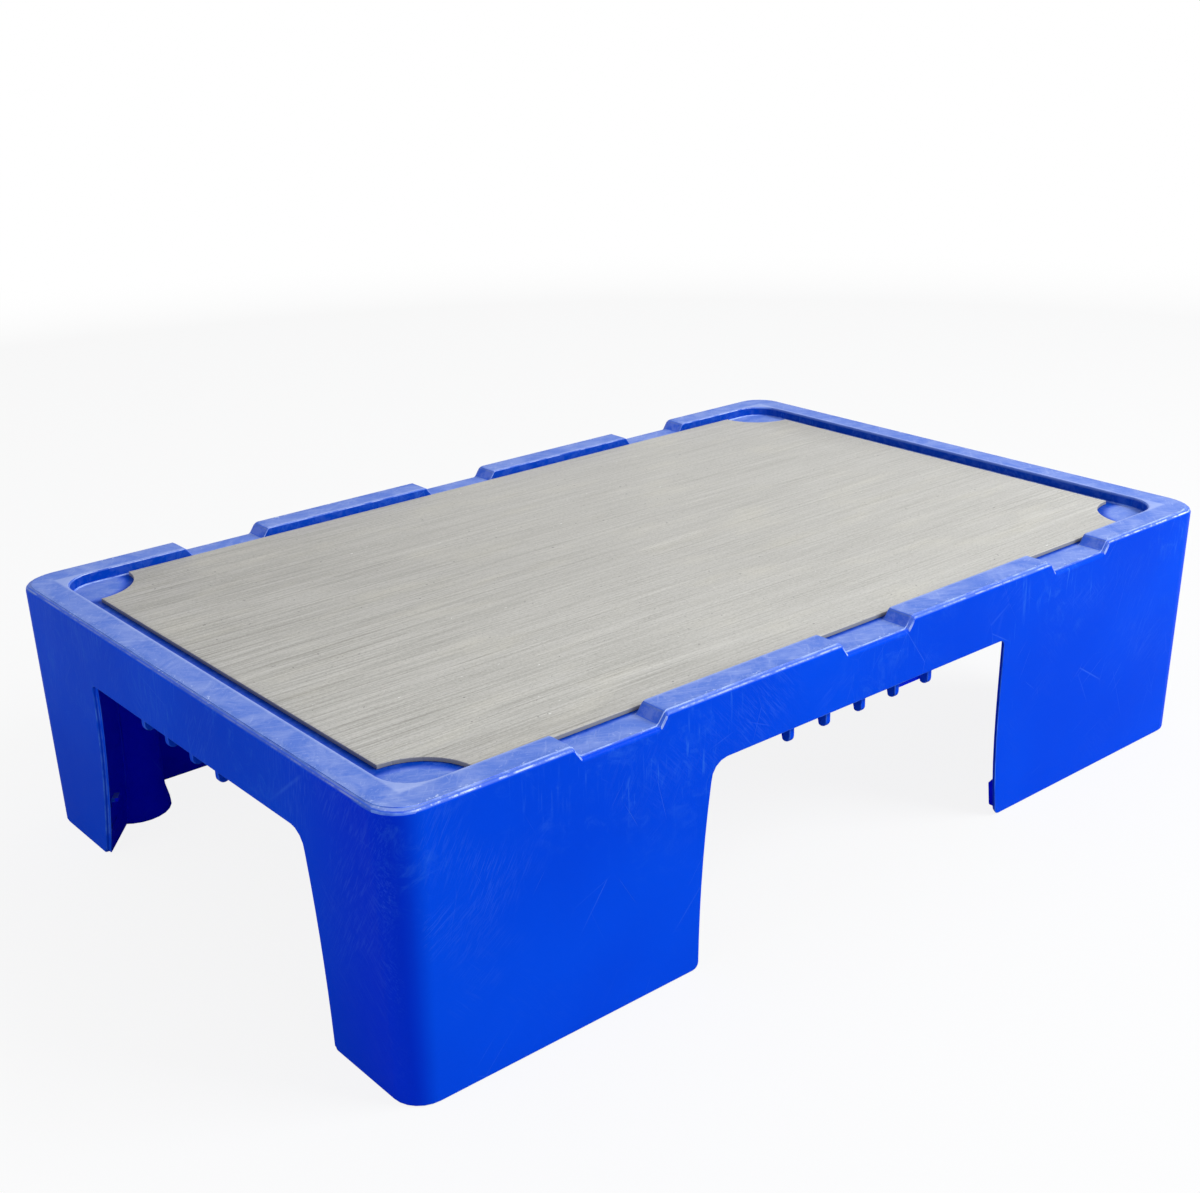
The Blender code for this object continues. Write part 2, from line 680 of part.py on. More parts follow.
def build_feet(rubber, steel):
    """Build the rubber feet in the columns and the screws that hold them."""
    outer = BORE_RADIUS - FIT_GAP
    hole = SCREW_RADIUS + FIT_GAP
    recess = SCREW_HEAD_RADIUS + FIT_GAP
    foot_profile = [
        (recess, 0.0),
        (outer - FOOT_CHAMFER, 0.0),
        (outer, FOOT_CHAMFER),
        (outer, FOOT_HEIGHT),
        (hole, FOOT_HEIGHT),
        (hole, FOOT_SHOULDER),
        (recess, FOOT_SHOULDER),
    ]
    head_top = SCREW_HEAD_SUNK + SCREW_HEAD_HEIGHT
    screw_profile = [
        (0.0, SCREW_HEAD_SUNK),
        (SCREW_HEAD_RADIUS * 2 / 3, SCREW_HEAD_SUNK),
        (SCREW_HEAD_RADIUS, SCREW_HEAD_SUNK + SCREW_HEAD_HEIGHT / 2),
        (SCREW_HEAD_RADIUS, head_top),
        (SCREW_RADIUS, head_top),
        (SCREW_RADIUS, head_top + SCREW_LENGTH - 2 * SCREW_RADIUS),
        (0.0, head_top + SCREW_LENGTH),
    ]
    foot_mesh = lathe("rubber_foot", foot_profile, COLUMN_SIDES, closed=True)
    screw_mesh = lathe("foot_screw", screw_profile, SCREW_SIDES, closed=False)
    foot_mesh.materials.append(rubber)
    screw_mesh.materials.append(steel)
    for leg, (side, end) in LEGS.items():
        place = (side * COLUMN_X, end * COLUMN_Y, 0.0)
        shade_smooth(add_object(f"rubber_foot_{leg}", foot_mesh, place=place))
        shade_smooth(add_object(f"foot_screw_{leg}", screw_mesh, place=place))


def main():
    """Build the whole platform."""
    for item in list(bpy.data.objects):
        bpy.data.objects.remove(item)
    blue = make_material("blue_polyethylene", (0.004, 0.075, 0.72), 0.42)
    vinyl = make_material("grey_vinyl", (0.46, 0.45, 0.41), 0.6)
    rubber = make_material("black_rubber", (0.02, 0.02, 0.022), 0.8)
    steel = make_material("zinc_steel", (0.6, 0.6, 0.62), 0.35, 1.0)
    hook = make_material("black_hook_tape", (0.015, 0.015, 0.017), 0.9)
    loop = make_material("black_loop_tape", (0.03, 0.03, 0.033), 0.95)
    build_shell(blue)
    mat = build_mat(vinyl)
    build_patches(hook, loop, mat)
    build_feet(rubber, steel)


main()
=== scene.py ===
"""Looks of the dog training platform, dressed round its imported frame.

Metres, +Z up, in the frame's own axes: X along the long side, Y from front to rear.
"""
from __future__ import annotations

import logging
import math
from dataclasses import dataclass
from enum import Enum
from functools import reduce

import bmesh
import bpy
from mathutils import Matrix, Vector


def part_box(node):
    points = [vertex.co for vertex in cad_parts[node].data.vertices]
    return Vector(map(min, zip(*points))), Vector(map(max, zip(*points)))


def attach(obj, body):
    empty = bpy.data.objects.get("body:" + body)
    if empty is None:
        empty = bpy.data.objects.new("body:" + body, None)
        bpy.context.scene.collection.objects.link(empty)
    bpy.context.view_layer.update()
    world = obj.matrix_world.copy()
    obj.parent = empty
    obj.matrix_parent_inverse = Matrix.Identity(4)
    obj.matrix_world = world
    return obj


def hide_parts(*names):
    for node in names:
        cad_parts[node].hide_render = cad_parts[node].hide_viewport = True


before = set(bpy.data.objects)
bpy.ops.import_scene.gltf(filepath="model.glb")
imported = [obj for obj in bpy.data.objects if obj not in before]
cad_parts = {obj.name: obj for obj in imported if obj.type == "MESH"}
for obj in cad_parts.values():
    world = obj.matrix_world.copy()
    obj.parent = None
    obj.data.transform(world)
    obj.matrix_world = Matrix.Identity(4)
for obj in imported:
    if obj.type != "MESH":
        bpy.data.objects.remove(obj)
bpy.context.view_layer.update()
LOG = logging.getLogger("platform")

Triple = tuple[float, float, float]
Colour = tuple[float, float, float]
Socket = bpy.types.NodeSocket
Feed = float | int | tuple | Socket

WHITE: Colour = (1.0, 1.0, 1.0)
QUARTER = math.pi / 2
# The four corners in plan, anticlockwise, as the sides along X and Y that they lie on.
CORNERS = ((1, 1), (-1, 1), (-1, -1), (1, -1))
PATCH_LABELS = [f"{end}_{column}" for end in ("front", "rear") for column in ("left", "middle", "right")]


class Body(Enum):
    """Bodies of the frame that a piece can ride on."""

    PLATFORM = "platform"
    MAT = "mat"


class Slot(Enum):
    """Material slots of the record."""

    SHELL = "blue_shell"
    MAT = "mat"
    RUBBER = "rubber"
    STEEL = "screw_steel"
    HOOK = "hook_tape"
    LOOP = "loop_tape"


class Leg(Enum):
    """The four legs, as the frame's nodes spell them."""

    FRONT_LEFT = "front_left"
    FRONT_RIGHT = "front_right"
    REAR_LEFT = "rear_left"
    REAR_RIGHT = "rear_right"


class Tape(Enum):
    """The two halves of the hook-and-loop tape."""

    HOOK = "hook"
    LOOP = "loop"


@dataclass(frozen=True)
class Grain:
    """A noise pattern, and the band of its strength that shows.

    The scale is in features per metre, one number or one for each axis. Strengths at or past low give
    least, those at or past high give most.
    """

    scale: float | Triple
    low: float
    high: float
    detail: float = 3.0
    roughness: float = 0.5
    distortion: float = 0.0
    least: float = 0.0
    most: float = 1.0


class Tree:
    """Short calls for building one node tree."""

    def __init__(self, tree: bpy.types.NodeTree) -> None:
        """Wrap a node tree."""
        self.tree = tree

    def add(
        self, kind: str, inputs: dict[str | int, Feed] | None = None, **settings: object
    ) -> bpy.types.Node:
        """Add a node.

        Args:
            kind: The node's type name.
            inputs: Values or sockets for its inputs, by name or place.
            settings: The node's own properties.

        Returns:
            The new node.
        """
        node = self.tree.nodes.new(kind)
        for key, value in settings.items():
            setattr(node, key, value)
        for key, value in (inputs or {}).items():
            self.feed(node.inputs[key], value)
        return node

    def out(self, kind: str, inputs: dict[str | int, Feed] | None = None, **settings: object) -> Socket:
        """Add a node and return its first output."""
        return self.add(kind, inputs, **settings).outputs[0]

    def feed(self, socket: Socket, value: Feed) -> None:
        """Link an input to another socket, or set its value.

        Args:
            socket: The input.
            value: The socket to link, or the number, vector or colour to set.
        """
        if isinstance(value, Socket):
            self.tree.links.new(value, socket)
        elif socket.type == "RGBA":
            socket.default_value = (*value, 1.0)
        else:
            socket.default_value = value

    def math(self, operation: str, *values: Feed) -> Socket:
        """Return the result of a Math node."""
        return self.out("ShaderNodeMath", dict(enumerate(values)), operation=operation)

    def times(self, *values: Feed) -> Socket:
        """Return the product of two or more values."""
        return reduce(lambda first, second: self.math("MULTIPLY", first, second), values)

    def most(self, *values: Feed) -> Socket:
        """Return the largest of two or more values."""
        return reduce(lambda first, second: self.math("MAXIMUM", first, second), values)

    def total(self, *values: Feed) -> Socket:
        """Return the sum of two or more values."""
        return reduce(lambda first, second: self.math("ADD", first, second), values)

    def less(self, value: Feed, taken: Feed) -> Socket:
        """Return a value with another one taken from it."""
        return self.math("SUBTRACT", value, taken)

    def size_of(self, value: Feed) -> Socket:
        """Return a value without its sign."""
        return self.math("ABSOLUTE", value)

    def vector(self, operation: str, *values: Feed) -> Socket:
        """Return the vector result of a Vector Math node."""
        return self.out("ShaderNodeVectorMath", dict(enumerate(values)), operation=operation)

    def length(self, vector: Feed) -> Socket:
        """Return a vector's length."""
        return self.add("ShaderNodeVectorMath", {0: vector}, operation="LENGTH").outputs["Value"]

    def join(self, x: Feed = 0.0, y: Feed = 0.0, z: Feed = 0.0) -> Socket:
        """Return a vector of three values."""
        return self.out("ShaderNodeCombineXYZ", {0: x, 1: y, 2: z})

    def parts(self, vector: Socket) -> list[Socket]:
        """Return the three values of a vector."""
        return list(self.add("ShaderNodeSeparateXYZ", {0: vector}).outputs)


class Paint(Tree):
    """A material's node tree, with the patterns that the finishes share."""

    def __init__(self, name: str) -> None:
        """Start a material with its Principled shader, its Object coordinates and its normals.

        Args:
            name: The material's name.
        """
        self.material = bpy.data.materials.new(name)
        self.material.use_nodes = True
        super().__init__(self.material.node_tree)
        self.shader = self.tree.nodes["Principled BSDF"]
        coordinates = self.add("ShaderNodeTexCoord").outputs
        self.place = coordinates["Object"]
        self.slope = self.parts(coordinates["Normal"])
        self.base: Feed = WHITE

    def turned(self, angles: Triple) -> Socket:
        """Return the place turned by Euler angles in degrees."""
        inputs = {"Vector": self.place, "Rotation": tuple(math.radians(angle) for angle in angles)}
        return self.out("ShaderNodeVectorRotate", inputs, rotation_type="EULER_XYZ")

    def noise(
        self,
        scale: float | Triple,
        detail: float = 3.0,
        roughness: float = 0.5,
        distortion: float = 0.0,
        place: Socket | None = None,
    ) -> Socket:
        """Return a noise pattern.

        Args:
            scale: Features per metre, one number or one for each axis.
            detail: Octaves of the noise.
            roughness: Weight of the finer octaves.
            distortion: Swirl of the pattern.
            place: Coordinates, or None for Object coordinates.

        Returns:
            The socket of the noise's strength.
        """
        at = place or self.place
        if isinstance(scale, tuple):
            at = self.vector("MULTIPLY", at, scale)
            scale = 1.0
        inputs = {"Vector": at, "Scale": scale, "Detail": detail, "Roughness": roughness}
        return self.out("ShaderNodeTexNoise", {**inputs, "Distortion": distortion})

    def span(
        self, value: Feed, low: float, high: float, least: float = 0.0, most: float = 1.0
    ) -> Socket:
        """Return a value mapped smoothly from low and high to least and most, and held inside them."""
        inputs = {0: value, 1: low, 2: high, 3: least, 4: most}
        return self.out("ShaderNodeMapRange", inputs, interpolation_type="SMOOTHSTEP")

    def grain(self, grain: Grain, place: Socket | None = None) -> Socket:
        """Return the share that a noise pattern shows."""
        strength = self.noise(grain.scale, grain.detail, grain.roughness, grain.distortion, place)
        return self.span(strength, grain.low, grain.high, grain.least, grain.most)

    def blend(self, share: Feed, first: Feed, second: Feed) -> Socket:
        """Return two colours mixed by a share."""
        return self.add("ShaderNodeMix", {0: share, 6: first, 7: second}, data_type="RGBA").outputs[2]

    def cover(self, colour: Feed, share: Feed, strength: float = 1.0) -> None:
        """Lay a colour over the base where a share says, at a strength."""
        self.base = self.blend(self.times(share, strength), self.base, colour)

    def bump(self, height: Feed, depth: float, under: Socket | None = None) -> Socket:
        """Bump the surface by a pattern.

        Args:
            height: The pattern.
            depth: How far the surface rises from 0 to 1 of the pattern, in metres.
            under: Another bump to lay this one over.

        Returns:
            The socket of the bumped normal.
        """
        inputs = {"Height": height, "Distance": depth, "Strength": 1.0}
        if under is not None:
            inputs["Normal"] = under
        return self.out("ShaderNodeBump", inputs)

    def finish(self, **inputs: Feed) -> bpy.types.Material:
        """Feed the shader.

        Args:
            inputs: Values or sockets for its inputs, named with underscores for spaces.

        Returns:
            The finished material.
        """
        for name, value in inputs.items():
            self.feed(self.shader.inputs[name.replace("_", " ")], value)
        return self.material


class ShellPaint(Paint):
    """The shell's node tree, with shares that tell its faces apart."""

    def __init__(self, name: str, rim_height: float, mat_corner_cut: float) -> None:
        """Start the shell's material and work out the shares.

        Args:
            name: The material's name.
            rim_height: Height of the rim above the deck, in metres.
            mat_corner_cut: Radius of the mat's corner cuts, in metres.
        """
        super().__init__(name)
        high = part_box("platform_shell")[1]
        self.deck = high.z - rim_height
        self.spots = self.parts(self.place)
        self.off = [self.size_of(spot) for spot in self.spots[:2]]
        self.sideways = self.size_of(self.slope[0])
        self.lift = self.slope[2]
        margins = [self.less(high[i], self.off[i]) for i in range(2)]
        self.edge = self.math("MINIMUM", *margins)
        self.corner = self.span(self.total(*margins), 0.13, 0.02, 0.0, 0.6)
        self.up = self.span(self.lift, 0.80, 0.97)
        self.near_top = self.level(-0.001, 0.0)
        self.raised = self.level(0.002, 0.005)
        self.below = self.level(-0.002, -0.004)
        self.ledges = self.times(self.up, self.below)
        uncovered = self.most(self.bare(mat_corner_cut), self.raised)
        self.open_up = self.times(self.up, self.near_top, uncovered)
        self.inside = self.times(self.inner_faces(), self.less(self.below, self.ledges))
        self.on_long_rim = self.span(self.off[1], 0.19, 0.195)
        # Share of the painted highlights: full on the faces along the long sides, least on the ends.
        self.highlight_side = self.span(self.sideways, 0.40, 0.10, 0.22, 1.0)

    def level(self, low: float, high: float) -> Socket:
        """Return a share that rises from 0 to 1 between two heights above the deck."""
        return self.span(self.spots[2], self.deck + low, self.deck + high)

    def bare(self, corner_cut: float) -> Socket:
        """Find the deck that the mat leaves bare.

        Args:
            corner_cut: Radius of the mat's corner cuts, in metres.

        Returns:
            A share that rises to 1 away from the mat, sooner in the notches.
        """
        low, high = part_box("surface_mat")
        middle = (low + high) / 2
        half = (high - low) / 2
        across = [self.size_of(self.less(self.spots[i], middle[i])) for i in range(2)]
        beyond = [self.less(across[i], half[i]) for i in range(2)]
        in_cut = self.less(corner_cut, self.length(self.join(*beyond)))
        outside = self.span(self.most(*beyond, in_cut), 0.003, 0.0105)
        in_notch = self.span(self.less(self.off[1], high.y), 0.0010, 0.0045)
        return self.most(outside, in_notch)

    def inner_faces(self) -> Socket:
        """Find the shell's hidden side.

        Returns:
            A share that is 1 under the deck and on the walls' inner faces.
        """
        blur = 0.0005
        reaches = zip(self.off, (0.3400, 0.2150))
        within = [self.span(off, reach + blur, reach - blur) for off, reach in reaches]
        shares = [self.times(*within)]
        for i, wall in enumerate((0.28, 0.18)):
            facing = self.span(self.times(self.slope[i], self.math("SIGN", self.spots[i])), -0.45, -0.75)
            shares.append(self.times(facing, self.span(self.off[i], wall, wall + 0.02)))
        return self.most(*shares)


@dataclass(frozen=True)
class MouldedBlue:
    """Satin blue polyethylene, scratched on its walls and pale where paws and hands go, partly with wear
    and partly as a painted reflection; with painted shade on its inner faces and painted highlights on
    its rim.
    """

    rim_width: float = 0.0215
    rim_height: float = 0.0075
    mat_corner_cut: float = 0.036
    colour: Colour = (0.0, 0.071, 0.80)
    shade: Colour = (0.0, 0.056, 0.72)
    # Painted shade for the rim's inner wall.
    inner_wall_shade: Colour = (0.0, 0.044, 0.42)
    # A shaded copy of the blue, painted on the inner faces, which lie in shade.
    inside_shade: Colour = (0.0, 0.004, 0.95)
    # Painted shade for the rounding of the front left corner.
    corner: Colour = (0.0, 0.012, 0.76)
    ramp: Colour = (0.050, 0.140, 0.70)
    scratch: Colour = (0.09, 0.26, 0.90)
    # Pale of the faces that point up: partly wear, partly a painted reflection; also painted light on
    # the ledges below the deck.
    worn_and_sheen: Colour = (0.110, 0.205, 0.63)
    band: Colour = (0.095, 0.175, 0.56)
    # Rub on the roundings, partly a painted highlight.
    rubbed_and_sheen: Colour = (0.12, 0.23, 0.76)
    rub_mark: Colour = (0.05, 0.23, 0.80)
    # Scuffs on the rim, partly a painted reflection, and a painted highlight on its inner edge.
    scuff_and_sheen: Colour = (0.46, 0.54, 0.85)
    # White nicks, and the painted highlights on the rim's crest and edges.
    burnish_and_highlight: Colour = (0.66, 0.76, 1.0)
    roughness: float = 0.36
    specular: float = 0.02
    refraction: float = 1.51
    line_half: float = 0.00016
    line_spacing: float = 0.030
    line_reach: float = 0.10
    line_turns: tuple[Triple, ...] = ((10, 24, 12), (15, -52, 35), (50, 12, -40), (-35, 70, 75))
    side_turns: tuple[Triple, ...] = ((0, 34, 0), (0, 62, 0), (0, -48, 0))
    end_turns: tuple[Triple, ...] = ((58, 0, 0), (-44, 0, 0), (80, 0, 0))
    side_strokes: Grain = Grain((70.0, 1300.0, 1300.0), 0.50, 0.64, 2.0, 0.6)
    end_strokes: Grain = Grain((1300.0, 70.0, 1300.0), 0.50, 0.64, 2.0, 0.6)
    stroke_patches: Grain = Grain(13.0, 0.52, 0.72, most=0.13)
    tone: Grain = Grain(6.0, 0.3, 0.7, 2.0)
    chafe: Grain = Grain(170.0, 0.40, 0.66, 4.0, 0.65, 0.6, most=0.16)
    mottle: Grain = Grain(55.0, 0.50, 0.72, 6.0, 0.70, 1.2, most=0.20)
    mottle_patches: Grain = Grain(9.0, 0.44, 0.62, 2.0)
    line_clusters: Grain = Grain(7.0, 0.40, 0.66, 2.0)
    rub_marks: Grain = Grain((420.0, 420.0, 28.0), 0.56, 0.76, 3.0, 0.6, 0.7, most=0.60)
    rub_patches: Grain = Grain(16.0, 0.46, 0.66)
    cloud: Grain = Grain(38.0, 0.36, 0.68, 6.0, 0.68, 0.8, most=0.46)
    streaks: Grain = Grain((45.0, 420.0, 420.0), 0.52, 0.72, 3.0, 0.6, 0.5, most=0.28)
    cross_streaks: Grain = Grain((60.0, 520.0, 520.0), 0.56, 0.74, 3.0, 0.6, 0.5, most=0.28)
    curls: Grain = Grain(150.0, 0.58, 0.72, 3.0, 0.6, 2.8, most=0.34)
    nicks: Grain = Grain(420.0, 0.58, 0.70, 3.0, 0.6, 0.8, most=0.8)
    nick_patches: Grain = Grain(40.0, 0.44, 0.60)
    # Patches of the rub and painted highlight on the roundings.
    rounding_rub_and_sheen: Grain = Grain(9.0, 0.34, 0.62, 3.0, 0.6, least=0.25, most=0.70)
    ramp_wear: Grain = Grain(120.0, 0.30, 0.65, 5.0, 0.7, least=0.55)
    # Patches of the painted highlight along the rounding's crest.
    crest_highlight: Grain = Grain(85.0, 0.42, 0.60, 5.0, 0.7, least=0.06)
    # Patches of edge wear and painted highlight on the moulded edges.
    edge_wear_and_sheen: Grain = Grain(75.0, 0.36, 0.64, 4.0, 0.6, least=0.06, most=0.55)

    def lines(self, paint: Paint) -> Socket:
        """Draw thin straight broken lines in several directions, for scratches.

        Args:
            paint: The material's tree.

        Returns:
            A socket that is 1 on a line.
        """
        squeeze = self.line_spacing / self.line_reach
        lines = []
        for turn in self.line_turns:
            place = paint.turned(turn)
            stretched = paint.vector("MULTIPLY", place, (1.0, squeeze, squeeze))
            cells = {"Vector": stretched, "Scale": 1 / self.line_spacing}
            away = paint.out("ShaderNodeTexVoronoi", cells, feature="DISTANCE_TO_EDGE")
            pieces = paint.grain(Grain(2.2 / self.line_reach, 0.56, 0.70, 1.0), place)
            lines.append(paint.times(paint.span(away, self.line_half / self.line_spacing, 0.0), pieces))
        return paint.most(*lines)

    def brushing(self, paint: ShellPaint) -> Socket:
        """Draw patches of fine parallel strokes, slanting along each wall.

        Args:
            paint: The shell's tree.

        Returns:
            The strokes' share, 0 on the rounded corners.
        """
        walls = []
        for strokes, turns in ((self.side_strokes, self.side_turns), (self.end_strokes, self.end_turns)):
            drawn = []
            for place in map(paint.turned, turns):
                patches = paint.grain(self.stroke_patches, place)
                drawn.append(paint.times(paint.grain(strokes, place), patches))
            walls.append(paint.most(*drawn))
        end_share = paint.span(paint.sideways, 0.4, 0.6)
        side_share = paint.less(1.0, end_share)
        both = paint.total(paint.times(walls[0], side_share), paint.times(walls[1], end_share))
        flat = paint.span(paint.size_of(paint.less(paint.sideways, 0.5)), 0.15, 0.40)
        return paint.times(both, flat, paint.span(paint.spots[2], 0.01, 0.12, 0.25, 1.0))

    def shade_faces(self, paint: ShellPaint) -> None:
        """Lay painted shade: the deeper blues of the front left corner, the rim's inner wall and the
        inside; and paint the ledges below the deck pale, as painted light.

        Args:
            paint: The shell's tree.
        """
        # Painted shade on the rounding of the front left corner.
        front_left = [paint.span(spot, 0.05, -0.05) for spot in paint.spots[:2]]
        corner_shade = paint.times(paint.corner, paint.span(paint.sideways, 0.05, 0.80), *front_left)
        paint.cover(self.corner, corner_shade)
        # Painted shade on the rim's inner wall, flecked with wear.
        inner = paint.span(paint.edge, self.rim_width - 0.004, self.rim_width - 0.001)
        inner = paint.times(inner, paint.near_top, paint.less(1.0, paint.open_up))
        paint.cover(paint.blend(paint.grain(self.chafe), self.inner_wall_shade, self.worn_and_sheen), inner)
        # Painted shade: the shaded copy of the blue on the faces inside.
        paint.cover(self.inside_shade, paint.inside)
        # Painted light: faces that point up below the deck are painted pale, as if lit.
        paint.cover(self.worn_and_sheen, paint.ledges, strength=0.9)

    def wear_walls(self, paint: ShellPaint) -> Socket:
        """Scratch and rub the walls.

        Args:
            paint: The shell's tree.

        Returns:
            The scratches' share, for the gloss and the relief.
        """
        height = paint.spots[2]
        paint.cover(self.scratch, self.brushing(paint))
        mottle = paint.times(paint.grain(self.mottle), paint.grain(self.mottle_patches))
        paint.cover(self.rub_mark, paint.times(mottle, paint.span(height, 0.06, 0.15, 0.1, 1.0)))
        scratches = paint.times(self.lines(paint), paint.grain(self.line_clusters))
        paint.cover(self.scratch, scratches, strength=0.30)
        high_up = paint.times(paint.span(height, 0.085, 0.165), paint.less(1.0, paint.up))
        rubs = paint.times(paint.grain(self.rub_marks), paint.grain(self.rub_patches), high_up)
        paint.cover(self.rub_mark, rubs)
        return scratches

    def wear_and_sheen_rim(self, paint: ShellPaint) -> Socket:
        """Paint the faces that point up pale and cloudy, partly as wear and partly as a painted
        reflection, with a darker, nicked outer band.

        Args:
            paint: The shell's tree.

        Returns:
            The scuffs' share, for the gloss and the relief.
        """
        # Pale tops: partly wear, partly a painted reflection.
        paint.cover(self.worn_and_sheen, paint.open_up, strength=0.92)
        outer = paint.times(paint.span(paint.edge, 0.0075, 0.004), paint.open_up)
        paint.cover(self.band, outer, strength=0.45)
        # Scuffs on the tops: partly wear, partly a painted reflection.
        slant = paint.grain(self.streaks, paint.turned((0, 0, 28)))
        across = paint.grain(self.cross_streaks, paint.turned((0, 0, -47)))
        worn_and_sheen = paint.total(paint.grain(self.cloud), paint.most(slant, across), paint.grain(self.curls))
        scuffs = paint.times(worn_and_sheen, paint.open_up)
        paint.cover(self.scuff_and_sheen, scuffs, strength=0.66)
        # Painted highlight along the rim's inner edge.
        inner_edge_highlight = paint.span(paint.edge, self.rim_width - 0.0035, self.rim_width - 0.001)
        paint.cover(self.scuff_and_sheen, paint.times(inner_edge_highlight, paint.raised, paint.open_up), strength=0.45)
        nicks = paint.times(paint.grain(self.nicks), paint.grain(self.nick_patches), outer)
        paint.cover(self.burnish_and_highlight, nicks)
        return scuffs

    def wear_and_highlight_rounding(self, paint: ShellPaint) -> None:
        """Rub the rim's roundings, partly as wear and partly as a painted highlight, rub the notches'
        ramps, and paint a highlight along the crest of the rounding.

        Args:
            paint: The shell's tree.
        """
        lift, sideways = paint.lift, paint.sideways
        # Rub on the rim's roundings: partly wear, partly a painted highlight, full on the long sides.
        rounding = paint.times(paint.span(lift, 0.30, 0.55), paint.span(lift, 0.95, 0.80))
        rounding = paint.times(rounding, paint.near_top, paint.grain(self.rounding_rub_and_sheen))
        paint.cover(self.rubbed_and_sheen, paint.times(rounding, paint.highlight_side))
        steep = paint.times(paint.span(sideways, 0.35, 0.50), paint.span(lift, 0.25, 0.45))
        ramps = paint.times(steep, paint.on_long_rim, paint.near_top)
        paint.cover(self.ramp, paint.times(ramps, paint.grain(self.ramp_wear)))
        shoulder = paint.level(self.rim_height - 0.0022, self.rim_height - 0.0010)
        shoulder = paint.times(shoulder, paint.near_top, paint.span(sideways, 0.5, 0.7))
        paint.cover(self.band, shoulder, strength=0.75)
        # Painted highlight along the crest of the rim's rounding, stronger near the corners.
        crest = paint.times(paint.span(lift, 0.52, 0.62), paint.span(lift, 0.86, 0.74), paint.near_top)
        crest_highlight = paint.times(paint.grain(self.crest_highlight), crest, paint.highlight_side)
        paint.cover(self.burnish_and_highlight, paint.times(crest_highlight, paint.total(0.55, paint.corner)))

    def wear_and_highlight_edges(self, paint: ShellPaint) -> None:
        """Lighten the moulded edges, partly as edge wear and partly as a painted highlight, and paint a
        highlight on those of the rim and its notches.

        Args:
            paint: The shell's tree.
        """
        moulded = paint.add("ShaderNodeAttribute", attribute_name=MouldedShell.edge_mark).outputs["Fac"]
        outside = paint.less(1.0, paint.times(paint.inside, 0.85))
        # Moulded edges lightened: partly edge wear, partly a painted highlight.
        sharp = paint.times(moulded, paint.grain(self.edge_wear_and_sheen), outside)
        paint.cover(self.scratch, sharp)
        # Painted highlight on the edges of the rim and its notches.
        notches = paint.times(paint.on_long_rim, paint.span(paint.off[0], 0.33, 0.31))
        glint = paint.times(sharp, paint.level(-0.0022, -0.0010), paint.most(paint.highlight_side, notches))
        paint.cover(self.burnish_and_highlight, glint, strength=0.9)

    def material(self) -> bpy.types.Material:
        """Paint the whole shell.

        Returns:
            The finished material.
        """
        paint = ShellPaint("moulded_blue", self.rim_height, self.mat_corner_cut)
        paint.base = paint.blend(paint.grain(self.tone), self.colour, self.shade)
        self.shade_faces(paint)
        scratches = self.wear_walls(paint)
        scuffs = self.wear_and_sheen_rim(paint)
        self.wear_and_highlight_rounding(paint)
        self.wear_and_highlight_edges(paint)
        rough = paint.total(self.roughness, paint.times(scratches, 0.12), paint.times(scuffs, 0.16))
        waves = paint.bump(paint.noise(14.0, 2.0), 0.0009)
        skin = paint.bump(paint.noise(700.0, 2.0), 0.00005, waves)
        marks = paint.bump(paint.times(paint.total(scratches, scuffs), -1.0), 0.00009, skin)
        constants = {"Specular_IOR_Level": self.specular, "IOR": self.refraction}
        return paint.finish(Base_Color=paint.base, Roughness=rough, Normal=marks, **constants)


